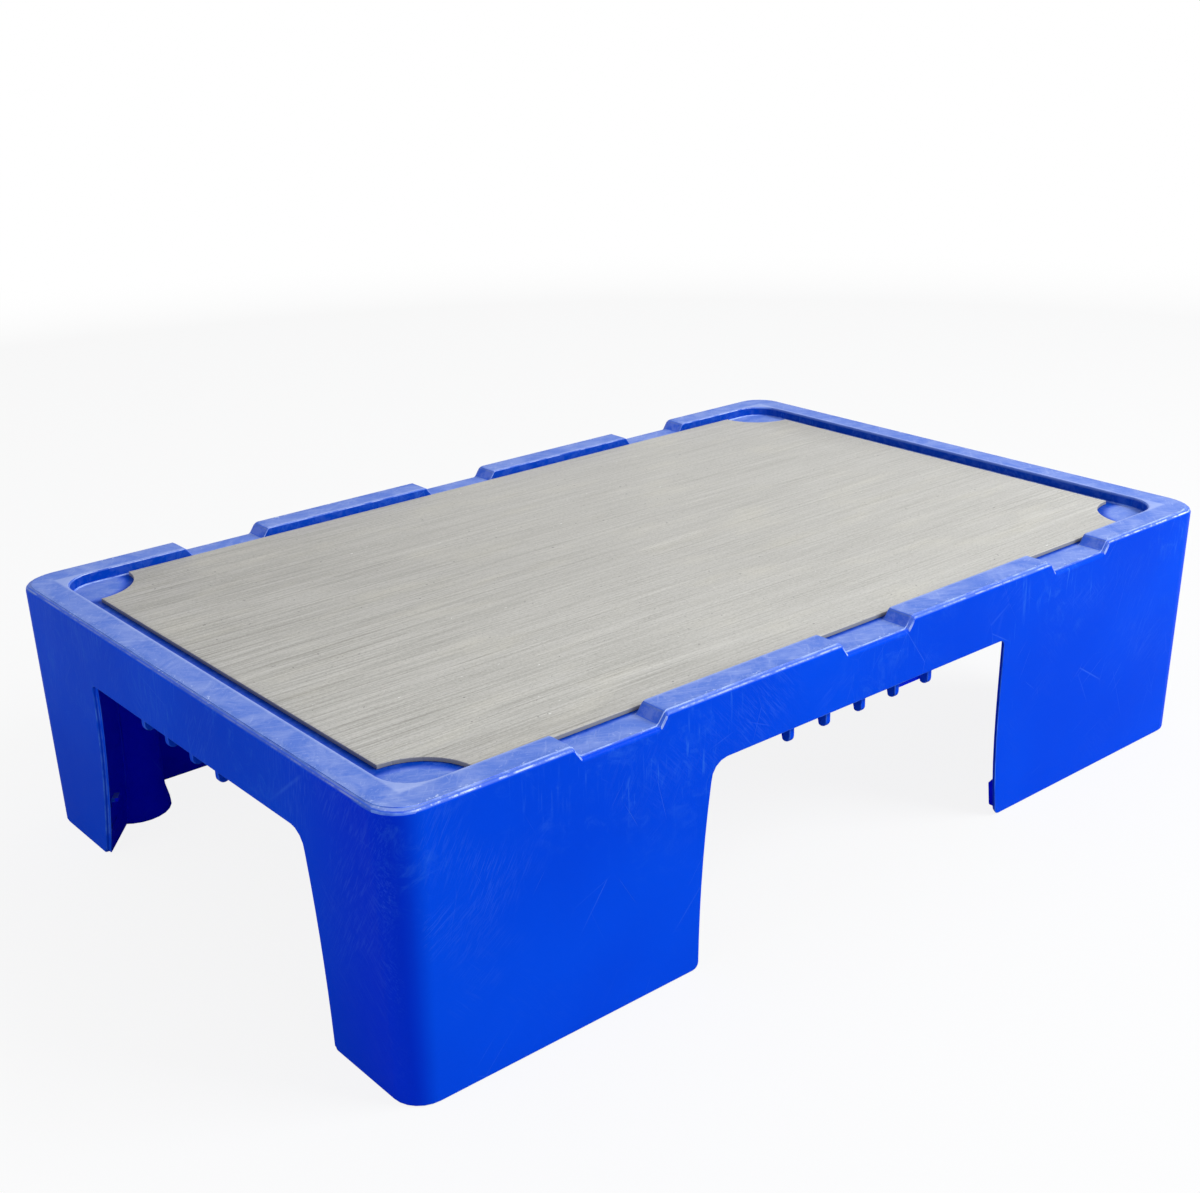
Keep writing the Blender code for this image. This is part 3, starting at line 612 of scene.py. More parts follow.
@dataclass(frozen=True)
class GreyVinyl:
    """Matt grey vinyl mat with a fine lengthwise grain, short fibre lines, grit and small specks."""

    light: Colour = (0.489, 0.473, 0.445)
    dark: Colour = (0.342, 0.331, 0.304)
    warm: Colour = (0.545, 0.520, 0.455)
    fibre: Colour = (0.200, 0.190, 0.170)
    pale: Colour = (0.670, 0.650, 0.610)
    core: Colour = (0.235, 0.235, 0.25)
    speck: Colour = (0.10, 0.10, 0.10)
    chip: Colour = (0.80, 0.80, 0.78)
    roughness: float = 0.60
    roughness_swing: float = 0.06
    specular: float = 0.30
    sway: float = 0.016
    fine_share: float = 0.86
    warmth: Grain = Grain((14.0, 40.0, 1.0), 0.50, 0.75, 4.0, most=0.40)
    specks: Grain = Grain(330.0, 0.765, 0.80, 1.0, 0.3, most=0.6)
    chips: Grain = Grain((190.0, 420.0, 1.0), 0.755, 0.80, 2.0)

    def fibres(self, paint: Paint, place: Socket, spacing: float, reach: float) -> Socket:
        """Draw thin broken lines along the mat.

        Args:
            paint: The material's tree.
            place: The swaying coordinates that the lines follow.
            spacing: Distance between the lines, in metres.
            reach: Length of a line, in metres.

        Returns:
            A socket that is 1 on a line.
        """
        wave = paint.noise((0.25 / reach, 1 / spacing, 1.0), 0.0, 0.0, 0.0, place)
        line = paint.span(paint.size_of(paint.less(wave, 0.5)), 0.042, 0.0)
        pieces = Grain((1.2 / reach, 0.5 / spacing, 1.0), 0.42, 0.60, 2.0, 0.6)
        return paint.times(line, paint.grain(pieces, place))

    def material(self) -> bpy.types.Material:
        """Paint the mat.

        Returns:
            The finished material.
        """
        paint = Paint("grey_vinyl_grain")
        bend = paint.times(paint.noise((1.5, 5.0, 1.0), 2.0), self.sway)
        along = paint.vector("ADD", paint.place, paint.join(y=bend))
        broad = paint.noise((5.0, 110.0, 1.0), 4.0, 0.60, 0.0, along)
        fine = paint.noise((12.0, 760.0, 1.0), 4.0, 0.66, 0.0, along)
        grain = paint.total(paint.times(broad, 1 - self.fine_share), paint.times(fine, self.fine_share))
        # The dark grain and dark lines grow stronger towards the left end: partly the grain, partly a
        # painted shade where the light falls off.
        depth = paint.span(paint.parts(paint.place)[0], -0.31, -0.02, 1.0, 0.46)
        paint.base = self.light
        paint.cover(self.dark, paint.times(paint.span(grain, 0.60, 0.37), depth))
        paint.cover(self.warm, paint.grain(self.warmth))
        dark_lines = self.fibres(paint, along, 0.0036, 0.12)
        pale_lines = self.fibres(paint, paint.vector("ADD", along, (0.37, 0.21, 0.0)), 0.0050, 0.14)
        paint.cover(self.fibre, paint.times(dark_lines, depth), strength=0.42)
        paint.cover(self.pale, pale_lines, strength=0.24)
        grit = paint.noise((460.0, 880.0, 1.0), 3.0, 0.72)
        paint.cover(self.fibre, paint.span(grit, 0.50, 0.30, 0.0, 0.34))
        paint.cover(self.pale, paint.span(grit, 0.52, 0.72, 0.0, 0.26))
        paint.cover(self.speck, paint.grain(self.specks))
        paint.cover(self.chip, paint.grain(self.chips))
        paint.cover(self.core, paint.span(paint.slope[2], 0.6, 0.1))
        relief = paint.total(paint.less(grain, paint.times(dark_lines, 0.5)), paint.times(grit, 0.35))
        matt, satin = self.roughness + self.roughness_swing, self.roughness - self.roughness_swing
        rough = paint.span(grain, 0.3, 0.7, matt, satin)
        bumped = paint.bump(relief, 0.0003)
        return paint.finish(
            Base_Color=paint.base, Roughness=rough, Specular_IOR_Level=self.specular, Normal=bumped
        )


@dataclass(frozen=True)
class BlackRubber:
    """Matt black rubber with dust in its grain."""

    colour: Colour = (0.016, 0.016, 0.017)
    dust: Colour = (0.075, 0.072, 0.066)
    dusting: Grain = Grain(140.0, 0.45, 0.72, 5.0, 0.65)

    def material(self) -> bpy.types.Material:
        """Paint the feet.

        Returns:
            The finished material.
        """
        paint = Paint("black_rubber_dusty")
        dust = paint.grain(self.dusting)
        paint.base = self.colour
        paint.cover(self.dust, dust, strength=0.6)
        rough = paint.span(dust, 0.0, 1.0, 0.62, 0.88)
        grain = paint.bump(paint.noise(1500.0, 3.0, 0.6), 0.00008)
        return paint.finish(Base_Color=paint.base, Roughness=rough, Normal=grain)


@dataclass(frozen=True)
class ZincSteel:
    """Zinc-plated steel with a cloudy plating and fine turning marks."""

    colour: Colour = (0.62, 0.63, 0.66)
    yellow: Colour = (0.60, 0.55, 0.40)
    cloud: Grain = Grain(220.0, 0.4, 0.7, 4.0, 0.6, most=0.45)
    gloss: Grain = Grain(900.0, 0.3, 0.7, least=0.24, most=0.42)

    def material(self) -> bpy.types.Material:
        """Paint the screws.

        Returns:
            The finished material.
        """
        paint = Paint("zinc_plated_steel")
        paint.base = self.colour
        paint.cover(self.yellow, paint.grain(self.cloud))
        turning = paint.bump(paint.noise((40.0, 40.0, 5000.0), 2.0), 0.00003)
        return paint.finish(
            Base_Color=paint.base, Roughness=paint.grain(self.gloss), Metallic=1.0, Normal=turning
        )


@dataclass(frozen=True)
class BlackTape:
    """Black nylon tape, woven along and across."""

    name: str
    thread: Colour
    gap: Colour
    threads_per_metre: float

    def material(self) -> bpy.types.Material:
        """Paint the tape.

        Returns:
            The finished material.
        """
        paint = Paint(self.name)
        turns = 2 * math.pi * self.threads_per_metre
        waves = [paint.math("SINE", paint.times(spot, turns)) for spot in paint.parts(paint.place)[:2]]
        weave = paint.span(paint.times(*waves), -1.0, 1.0)
        fuzz = paint.noise(2400.0, 3.0, 0.7)
        base = paint.blend(paint.times(weave, fuzz), self.gap, self.thread)
        rough = paint.span(fuzz, 0.2, 0.8, 0.70, 0.95)
        relief = paint.bump(weave, 0.0001)
        return paint.finish(Base_Color=base, Roughness=rough, Sheen_Weight=0.4, Normal=relief)


def link_mesh(name: str, bm: bmesh.types.BMesh) -> bpy.types.Object:
    """Turn a bmesh into a linked object with its faces pointing out.

    Args:
        name: The object's name.
        bm: The mesh, which is freed.

    Returns:
        The new object.
    """
    bmesh.ops.recalc_face_normals(bm, faces=bm.faces)
    mesh = bpy.data.meshes.new(name)
    bm.to_mesh(mesh)
    bm.free()
    item = bpy.data.objects.new(name, mesh)
    bpy.context.scene.collection.objects.link(item)
    return item


def smooth(item: bpy.types.Object, angle_deg: float) -> None:
    """Shade a mesh smooth and keep the edges sharper than the angle."""
    item.data.shade_smooth()
    item.data.set_sharp_from_angle(angle=math.radians(angle_deg))


def bake_modifiers(item: bpy.types.Object) -> None:
    """Apply all of an object's modifiers to its mesh.

    Args:
        item: The object.
    """
    graph = bpy.context.evaluated_depsgraph_get()
    shaped = bpy.data.meshes.new_from_object(item.evaluated_get(graph))
    item.modifiers.clear()
    item.data = shaped


def centre_on(item: bpy.types.Object, low: Vector, high: Vector) -> None:
    """Move a mesh that was made round the Z axis to the middle of a box in plan."""
    middle = (low + high) / 2
    item.data.transform(Matrix.Translation((middle.x, middle.y, 0.0)))


def dress(
    item: bpy.types.Object, material: bpy.types.Material, body: Body, node: str
) -> None:
    """Give a piece its material and body, and let it stand for its node of the frame.

    Args:
        item: The finished piece.
        material: Its material.
        body: The body that it rides on.
        node: The frame's node that it replaces.
    """
    item.data.materials.clear()
    item.data.materials.append(material)
    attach(item, body.value)
    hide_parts(node)
    LOG.info("%s: %d faces, rides on %s", item.name, len(item.data.polygons), body.value)


def lathe(profile: list[tuple[float, float]], sides: int, closed: bool) -> bmesh.types.BMesh:
    """Turn a profile round Z.

    Args:
        profile: Points as (radius, z), from bottom to top.
        sides: Count of faces round the axis.
        closed: Whether the last point joins the first, for a ring.

    Returns:
        The turned bmesh.
    """
    bm = bmesh.new()
    turns = [2 * math.pi * i / sides for i in range(sides)]
    rows = []
    for radius, z in profile:
        around = turns if radius > 0.0 else turns[:1]
        rows.append([bm.verts.new((radius * math.cos(a), radius * math.sin(a), z)) for a in around])
    pairs = list(zip(rows, rows[1:]))
    if closed:
        pairs.append((rows[-1], rows[0]))
    for lower, upper in pairs:
        for i in range(sides):
            j = (i + 1) % sides
            corners = [lower[i % len(lower)], lower[j % len(lower)]]
            corners += [upper[j % len(upper)], upper[i % len(upper)]]
            bm.faces.new(list(dict.fromkeys(corners)))
    return bm


def stack(rings: list[list[Triple]]) -> bmesh.types.BMesh:
    """Close a solid through rings of points.

    Args:
        rings: Rings of equal count, from bottom to top.

    Returns:
        The bmesh, with its walls and both ends.
    """
    bm = bmesh.new()
    rows = [[bm.verts.new(point) for point in ring] for ring in rings]
    for lower, upper in zip(rows, rows[1:]):
        for i, vert in enumerate(lower):
            j = (i + 1) % len(lower)
            bm.faces.new((vert, lower[j], upper[j], upper[i]))
    bm.faces.new(rows[0])
    bm.faces.new(rows[-1])
    return bm


class Pattern(Tree):
    """A Geometry Nodes tree with named inputs, which adds to an object's mesh."""

    def __init__(self, name: str, material: bpy.types.Material) -> None:
        """Start a tree with a geometry input and output.

        Args:
            name: The tree's name.
            material: The material that it sets on all it makes.
        """
        super().__init__(bpy.data.node_groups.new(name, "GeometryNodeTree"))
        self.material = material
        self.sockets: dict[str, str] = {}
        for end in ("INPUT", "OUTPUT"):
            self.tree.interface.new_socket("Geometry", in_out=end, socket_type="NodeSocketGeometry")
        self.source = self.add("NodeGroupInput")

    def size(self, name: str, whole: bool = False) -> Socket:
        """Add a named input.

        Args:
            name: The input's name.
            whole: Whether it is a count, not a length.

        Returns:
            The input's socket inside the tree.
        """
        kind = "NodeSocketInt" if whole else "NodeSocketFloat"
        socket = self.tree.interface.new_socket(name, in_out="INPUT", socket_type=kind)
        self.sockets[name] = socket.identifier
        return self.source.outputs[name]

    def moved(self, geometry: Socket, **change: Feed) -> Socket:
        """Return a geometry with a new Translation, Rotation or Scale."""
        return self.out("GeometryNodeTransform", {"Geometry": geometry, **change})

    def spread(self, points: Socket, shape: Socket, turn: Socket) -> Socket:
        """Return a shape repeated on points, each turned."""
        inputs = {"Points": points, "Instance": shape, "Rotation": turn}
        return self.out("GeometryNodeInstanceOnPoints", inputs)

    def close(self, grown: Socket) -> None:
        """Join what was grown to the object's own mesh, and end the tree.

        Args:
            grown: The geometry that the tree made.
        """
        joined = self.add("GeometryNodeJoinGeometry")
        self.feed(joined.inputs[0], self.source.outputs[0])
        self.feed(joined.inputs[0], grown)
        real = self.out("GeometryNodeRealizeInstances", {"Geometry": joined.outputs[0]})
        painted = self.add("GeometryNodeSetMaterial", {"Geometry": real})
        painted.inputs["Material"].default_value = self.material
        self.add("NodeGroupOutput", {0: painted.outputs[0]})

    def run(self, item: bpy.types.Object, **values: float) -> None:
        """Run the tree on an object and keep the mesh.

        Args:
            item: The object.
            values: The inputs, named with underscores for spaces.
        """
        modifier = item.modifiers.new(self.tree.name, "NODES")
        modifier.node_group = self.tree
        for name, value in values.items():
            modifier[self.sockets[name.replace("_", " ")]] = value
        bake_modifiers(item)


@dataclass
class MouldedShell:
    """The one-piece shell: the frame's own form with its moulded edges rounded."""

    finish: MouldedBlue
    merge: float = 0.00001
    flat_deg: float = 0.4
    edge_deg: float = 33.0
    edge_round: float = 0.0008
    edge_steps: int = 2
    room_share: float = 0.45
    shade_deg: float = 50.0
    edge_mark = "moulded_edge"

    def weigh_edges(self, bm: bmesh.types.BMesh) -> None:
        """Weight each sharp edge by how much room the shell has for its rounding.

        Args:
            bm: The shell's mesh.
        """
        weights = bm.edges.layers.float.new("bevel_weight_edge")
        for edge in bm.edges:
            if len(edge.link_faces) != 2 or edge.calc_face_angle(0.0) < math.radians(self.edge_deg):
                continue
            room = min(other.calc_length() for vert in edge.verts for other in vert.link_edges)
            edge[weights] = min(1.0, self.room_share * room / self.edge_round)

    def round_edges(self, item: bpy.types.Object) -> None:
        """Round the weighted edges, and mark the new faces for the finish.

        Args:
            item: The shell.
        """
        for name in ("faces", "edges"):
            item.data.materials.append(bpy.data.materials.new(name))
        bevel = item.modifiers.new("edge_round", "BEVEL")
        bevel.material = 1
        bevel.width = self.edge_round
        bevel.segments = self.edge_steps
        bevel.limit_method = "WEIGHT"
        bevel.use_clamp_overlap = False
        bake_modifiers(item)
        faces = item.data.polygons
        marks = item.data.attributes.new(self.edge_mark, "FLOAT", "FACE")
        marks.data.foreach_set("value", [float(face.material_index) for face in faces])
        faces.foreach_set("material_index", [0] * len(faces))

    def build(self) -> bpy.types.Object:
        """Build the shell with its rounded edges.

        Returns:
            The shell's object.
        """
        bm = bmesh.new()
        bm.from_mesh(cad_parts["platform_shell"].data)
        bmesh.ops.remove_doubles(bm, verts=bm.verts, dist=self.merge)
        limits = {"angle_face_threshold": math.radians(self.flat_deg), "angle_shape_threshold": math.pi}
        bmesh.ops.join_triangles(bm, faces=bm.faces, **limits)
        self.weigh_edges(bm)
        item = link_mesh("moulded_shell", bm)
        self.round_edges(item)
        smooth(item, self.shade_deg)
        normals = item.modifiers.new("flat_faces_first", "WEIGHTED_NORMAL")
        normals.keep_sharp = True
        bake_modifiers(item)
        return item

    def dress(self, item: bpy.types.Object) -> None:
        """Give the shell its blue finish."""
        dress(item, self.finish.material(), Body.PLATFORM, "platform_shell")


@dataclass
class SurfaceMat:
    """The lift-out mat with quarter-round corner cuts and softly cut edges."""

    finish: GreyVinyl
    corner_cut: float = 0.036
    corner_steps: int = 20
    edge_round: float = 0.0004
    round_steps: int = 2
    shade_deg: float = 50.0

    def ring(self, inset: float, z: float) -> list[Triple]:
        """Trace the mat's outline.

        Args:
            inset: How far to move it inwards, in metres.
            z: Its height.

        Returns:
            The outline's points, anticlockwise.
        """
        low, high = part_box("surface_mat")
        middle = (low + high) / 2
        half = (high - low) / 2
        reach = self.corner_cut + inset
        skip = math.asin(inset / reach)
        points = []
        for corner, (side, end) in enumerate(CORNERS):
            for step in range(self.corner_steps + 1):
                share = skip + (QUARTER - 2 * skip) * (1 - step / self.corner_steps)
                turn = QUARTER * (corner + 2) + share
                x = side * half.x + reach * math.cos(turn)
                y = end * half.y + reach * math.sin(turn)
                points.append((middle.x + x, middle.y + y, z))
        return points

    def build(self) -> bpy.types.Object:
        """Build the mat.

        Returns:
            The mat's object.
        """
        low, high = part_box("surface_mat")
        rings = [self.ring(0.0, low.z)]
        for step in range(self.round_steps + 1):
            turn = QUARTER * step / self.round_steps
            inset = self.edge_round * (1 - math.cos(turn))
            rings.append(self.ring(inset, high.z - self.edge_round * (1 - math.sin(turn))))
        item = link_mesh("lift_out_mat", stack(rings))
        smooth(item, self.shade_deg)
        return item

    def dress(self, item: bpy.types.Object) -> None:
        """Give the mat its grained vinyl."""
        dress(item, self.finish.material(), Body.MAT, "surface_mat")


@dataclass
class RubberFoot:
    """One leg's rubber foot, with ribs moulded round its tread."""

    leg: Leg
    material: bpy.types.Material
    sides: int = 64
    rib_count: int = 28
    rib_height: float = 0.0008
    rib_width: float = 0.0011
    rib_sink: float = 1.05
    inner_gap: float = 0.0008
    outer_gap: float = 0.0006
    chamfer: float = 0.001
    screw_gap: float = 0.0003
    seat_height: float = 0.0033
    shade_deg: float = 35.0

    @property
    def node(self) -> str:
        """The frame's node that this foot stands for."""
        return f"rubber_foot_{self.leg.value}"

    def profile(self, radius: float, recess: float, heights: Triple) -> list[tuple[float, float]]:
        """Trace the foot's section.

        Args:
            radius: The foot's outer radius.
            recess: Radius of the recess for the screw's head.
            heights: The foot's lowest point, the seat of the screw's head, and the foot's top.

        Returns:
            Points as (radius, z), closed round the ring.
        """
        low, seat, top = heights
        tread = low + self.rib_height
        return [
            (recess, tread),
            (radius - self.chamfer, tread),
            (radius, tread + self.chamfer),
            (radius, top - self.chamfer / 2),
            (radius - self.chamfer / 2, top),
            (recess / 2, top),
            (recess / 2, seat),
            (recess, seat),
        ]

    def tread(self, floor: float) -> Pattern:
        """Set up the ribs that stand round the tread.

        Args:
            floor: Height of the ribs' lower faces.

        Returns:
            The tree, ready to run.
        """
        pattern = Pattern("tread_ribs", self.material)
        inner, outer = pattern.size("inner"), pattern.size("outer")
        width, height = pattern.size("rib width"), pattern.size("rib height")
        count = pattern.size("rib count", whole=True)
        middle = pattern.times(pattern.total(outer, inner), 0.5)
        ring = pattern.out("GeometryNodeMeshCircle", {"Vertices": count, "Radius": middle})
        size = pattern.join(pattern.less(outer, inner), width, height)
        rib = pattern.out("GeometryNodeMeshCube", {"Size": size})
        outwards = pattern.out("GeometryNodeInputPosition")
        turn = pattern.out("FunctionNodeAlignRotationToVector", {"Vector": outwards}, axis="X")
        lift = pattern.join(z=pattern.total(pattern.times(height, 0.5), floor))
        pattern.close(pattern.moved(pattern.spread(ring, rib, turn), Translation=lift))
        return pattern

    def build(self) -> bpy.types.Object:
        """Build the foot with its tread ribs.

        Returns:
            The foot's object.
        """
        low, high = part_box(self.node)
        screw_low, screw_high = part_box(f"foot_screw_{self.leg.value}")
        radius = (high.x - low.x) / 2
        recess = (screw_high.x - screw_low.x) / 2 + self.screw_gap
        profile = self.profile(radius, recess, (low.z, screw_low.z + self.seat_height, high.z))
        item = link_mesh(self.node + "_moulded", lathe(profile, self.sides, closed=True))
        self.tread(low.z).run(
            item,
            inner=recess + self.inner_gap,
            outer=radius - self.chamfer - self.outer_gap,
            rib_width=self.rib_width,
            rib_height=self.rib_height * self.rib_sink,
            rib_count=self.rib_count,
        )
        centre_on(item, low, high)
        smooth(item, self.shade_deg)
        return item

    def dress(self, item: bpy.types.Object) -> None:
        """Give the foot its rubber."""
        dress(item, self.material, Body.PLATFORM, self.node)


@dataclass
class FootScrew:
    """One foot's screw, with a cross recess in its head and a thread on its shank."""

    leg: Leg
    material: bpy.types.Material
    sides: int = 40
    head_height: float = 0.003
    head_crown: tuple[tuple[float, float], ...] = ((0.62, 0.0), (0.86, 0.18), (1.0, 0.5), (1.0, 1.0))
    shank_radius: float = 0.002
    thread_pitch: float = 0.0014
    thread_depth: float = 0.0004
    thread_steps: int = 20
    recess_share: float = 0.55
    recess_width: float = 0.0011
    recess_depth: float = 0.0013
    shade_deg: float = 35.0

    @property
    def node(self) -> str:
        """The frame's node that this screw stands for."""
        return f"foot_screw_{self.leg.value}"

    def cut_recess(self, item: bpy.types.Object, bottom: float, head: float) -> None:
        """Cut the cross recess into the head's lower face.

        Args:
            item: The screw.
            bottom: Height of that face.
            head: The head's radius.
        """
        reach = head * self.recess_share
        for turn in (0.0, QUARTER):
            bm = bmesh.new()
            bmesh.ops.create_cube(bm, size=1.0)
            size = Matrix.Diagonal((2 * reach, self.recess_width, 2 * self.recess_depth, 1.0))
            place = Matrix.Translation((0.0, 0.0, bottom)) @ Matrix.Rotation(turn, 4, "Z")
            bm.transform(place @ size)
            cutter = link_mesh("cross_cutter", bm)
            modifier = item.modifiers.new("cross", "BOOLEAN")
            modifier.operation = "DIFFERENCE"
            modifier.solver = "EXACT"
            modifier.object = cutter
            bake_modifiers(item)
            bpy.data.objects.remove(cutter)

    def thread(self, start: float) -> Pattern:
        """Set up the thread that winds up the shank.

        Args:
            start: Height where it starts.

        Returns:
            The tree, ready to run.
        """
        pattern = Pattern("screw_thread", self.material)
        radius, pitch = pattern.size("radius"), pattern.size("pitch")
        length, depth = pattern.size("length"), pattern.size("depth")
        turns = pattern.math("DIVIDE", length, pitch)
        radii = {"Start Radius": radius, "End Radius": radius}
        helix_inputs = {"Resolution": self.thread_steps, "Rotations": turns, "Height": length, **radii}
        helix = pattern.out("GeometryNodeCurveSpiral", helix_inputs)
        ridge = pattern.out("GeometryNodeCurvePrimitiveCircle", {"Resolution": 3, "Radius": depth})
        swept = {"Curve": helix, "Profile Curve": ridge, "Fill Caps": True}
        thread = pattern.out("GeometryNodeCurveToMesh", swept)
        pattern.close(pattern.moved(thread, Translation=pattern.join(z=start)))
        return pattern

    def build(self) -> bpy.types.Object:
        """Build the screw.

        Returns:
            The screw's object.
        """
        low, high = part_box(self.node)
        head = (high.x - low.x) / 2
        core = self.shank_radius - self.thread_depth
        top = low.z + self.head_height
        crown = [(head * out, low.z + self.head_height * up) for out, up in self.head_crown]
        profile = [(0.0, low.z), *crown, (core, top), (core, high.z - 2 * core), (0.0, high.z)]
        item = link_mesh(self.node + "_threaded", lathe(profile, self.sides, closed=False))
        self.cut_recess(item, low.z, head)
        self.thread(top + self.thread_pitch / 2).run(
            item,
            radius=core,
            pitch=self.thread_pitch,
            length=high.z - top - 2 * core - self.thread_pitch,
            depth=self.thread_depth,
        )
        centre_on(item, low, high)
        smooth(item, self.shade_deg)
        return item

    def dress(self, item: bpy.types.Object) -> None:
        """Give the screw its plating."""
        dress(item, self.material, Body.PLATFORM, self.node)


@dataclass
class TapePatch:
    """One patch of hook or loop tape: a woven backing with its hooks or loops."""

    tape: Tape
    label: str
    material: bpy.types.Material
    corner: float = 0.003
    corner_steps: int = 5
    backing: float = 0.00035
    pitch: float = 0.0017
    wire: float = 0.00011
    wire_sides: int = 4
    arc_steps: int = 7
    arc_width: float = 0.8
    hook_spin: float = 0.5
    loop_spin: float = 1.5
    seed: int = 7
    shade_deg: float = 50.0

    @property
    def node(self) -> str:
        """The frame's node that this patch stands for."""
        return f"{self.tape.value}_patch_{self.label}"

    def ring(self, low: Vector, high: Vector, z: float) -> list[Triple]:
        """Trace the backing's outline, with its rounded corners.

        Args:
            low: The patch's lowest corner.
            high: The patch's highest corner.
            z: The outline's height.

        Returns:
            The outline's points, anticlockwise.
        """
        middle = (low + high) / 2
        half = (high - low) / 2
        points = []
        for corner, (side, end) in enumerate(CORNERS):
            for step in range(self.corner_steps + 1):
                turn = QUARTER * (corner + step / self.corner_steps)
                x = side * (half.x - self.corner) + self.corner * math.cos(turn)
                y = end * (half.y - self.corner) + self.corner * math.sin(turn)
                points.append((middle.x + x, middle.y + y, z))
        return points

    def field(self, place: Triple, upward: bool) -> Pattern:
        """Set up the field of hooks or loops.

        Args:
            place: The middle of the backing's free face.
            upward: Whether they stand up, not hang down.

        Returns:
            The tree, ready to run.
        """
        pattern = Pattern(f"{self.tape.value}_field", self.material)
        length, width = pattern.size("length"), pattern.size("width")
        columns, rows = pattern.size("columns", whole=True), pattern.size("rows", whole=True)
        rise, wire = pattern.size("rise"), pattern.size("wire radius")
        grid = {"Size X": length, "Size Y": width, "Vertices X": columns, "Vertices Y": rows}
        points = pattern.out("GeometryNodeMeshGrid", grid)
        half_turn = {"Resolution": self.arc_steps, "Radius": 1.0, "Sweep Angle": math.pi}
        arc = pattern.out("GeometryNodeCurveArc", half_turn)
        arc = pattern.moved(arc, Scale=pattern.join(pattern.times(rise, self.arc_width), rise, 1.0))
        arc = pattern.moved(arc, Rotation=(QUARTER, 0.0, 0.0))
        round_wire = {"Resolution": self.wire_sides, "Radius": wire}
        thin = pattern.out("GeometryNodeCurvePrimitiveCircle", round_wire)
        hook = pattern.out("GeometryNodeCurveToMesh", {"Curve": arc, "Profile Curve": thin})
        reach = self.hook_spin if upward else self.loop_spin
        spin = pattern.add("FunctionNodeRandomValue", {"Seed": self.seed}, data_type="FLOAT")
        spin.inputs[2].default_value = -reach
        spin.inputs[3].default_value = reach
        turn = pattern.join(0.0 if upward else math.pi, 0.0, spin.outputs[1])
        pattern.close(pattern.moved(pattern.spread(points, hook, turn), Translation=place))
        return pattern

    def build(self) -> bpy.types.Object:
        """Build the patch with its hooks or loops.

        Returns:
            The patch's object.
        """
        low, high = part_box(self.node)
        upward = self.tape is Tape.HOOK
        level = low.z + self.backing if upward else high.z - self.backing
        glued = low.z if upward else high.z
        rings = [self.ring(low, high, z) for z in sorted((level, glued))]
        item = link_mesh(self.node + "_woven", stack(rings))
        middle = (low + high) / 2
        size = high - low
        length, width = size.x - 2 * self.corner, size.y - self.corner
        self.field((middle.x, middle.y, level), upward).run(
            item,
            length=length,
            width=width,
            columns=round(length / self.pitch) + 1,
            rows=round(width / self.pitch) + 1,
            rise=size.z - self.backing - self.wire,
            wire_radius=self.wire,
        )
        smooth(item, self.shade_deg)
        return item

    def dress(self, item: bpy.types.Object) -> None:
        """Give the patch its tape finish.

        Args:
            item: The finished patch.
        """
        hook = self.tape is Tape.HOOK
        body, slot = (Body.PLATFORM, Slot.HOOK) if hook else (Body.MAT, Slot.LOOP)
        dress(item, self.material, body, self.node)


@dataclass(frozen=True)
class SoftBox:
    """One square soft light that faces the object."""

    name: str
    place: Triple
    size: float
    power: float
    tint: Colour = WHITE
    aim: Triple = (0.0, 0.0, 0.1)

    def hang(self) -> None:
        """Put the light into the scene."""
        data = bpy.data.lights.new(self.name, "AREA")
        data.shape = "SQUARE"
        data.size = self.size
        data.energy = self.power
        data.color = self.tint
        lamp = bpy.data.objects.new(self.name, data)
        turn = (Vector(self.aim) - Vector(self.place)).to_track_quat("-Z", "Y")
        lamp.matrix_world = Matrix.Translation(self.place) @ turn.to_matrix().to_4x4()
        bpy.context.scene.collection.objects.link(lamp)


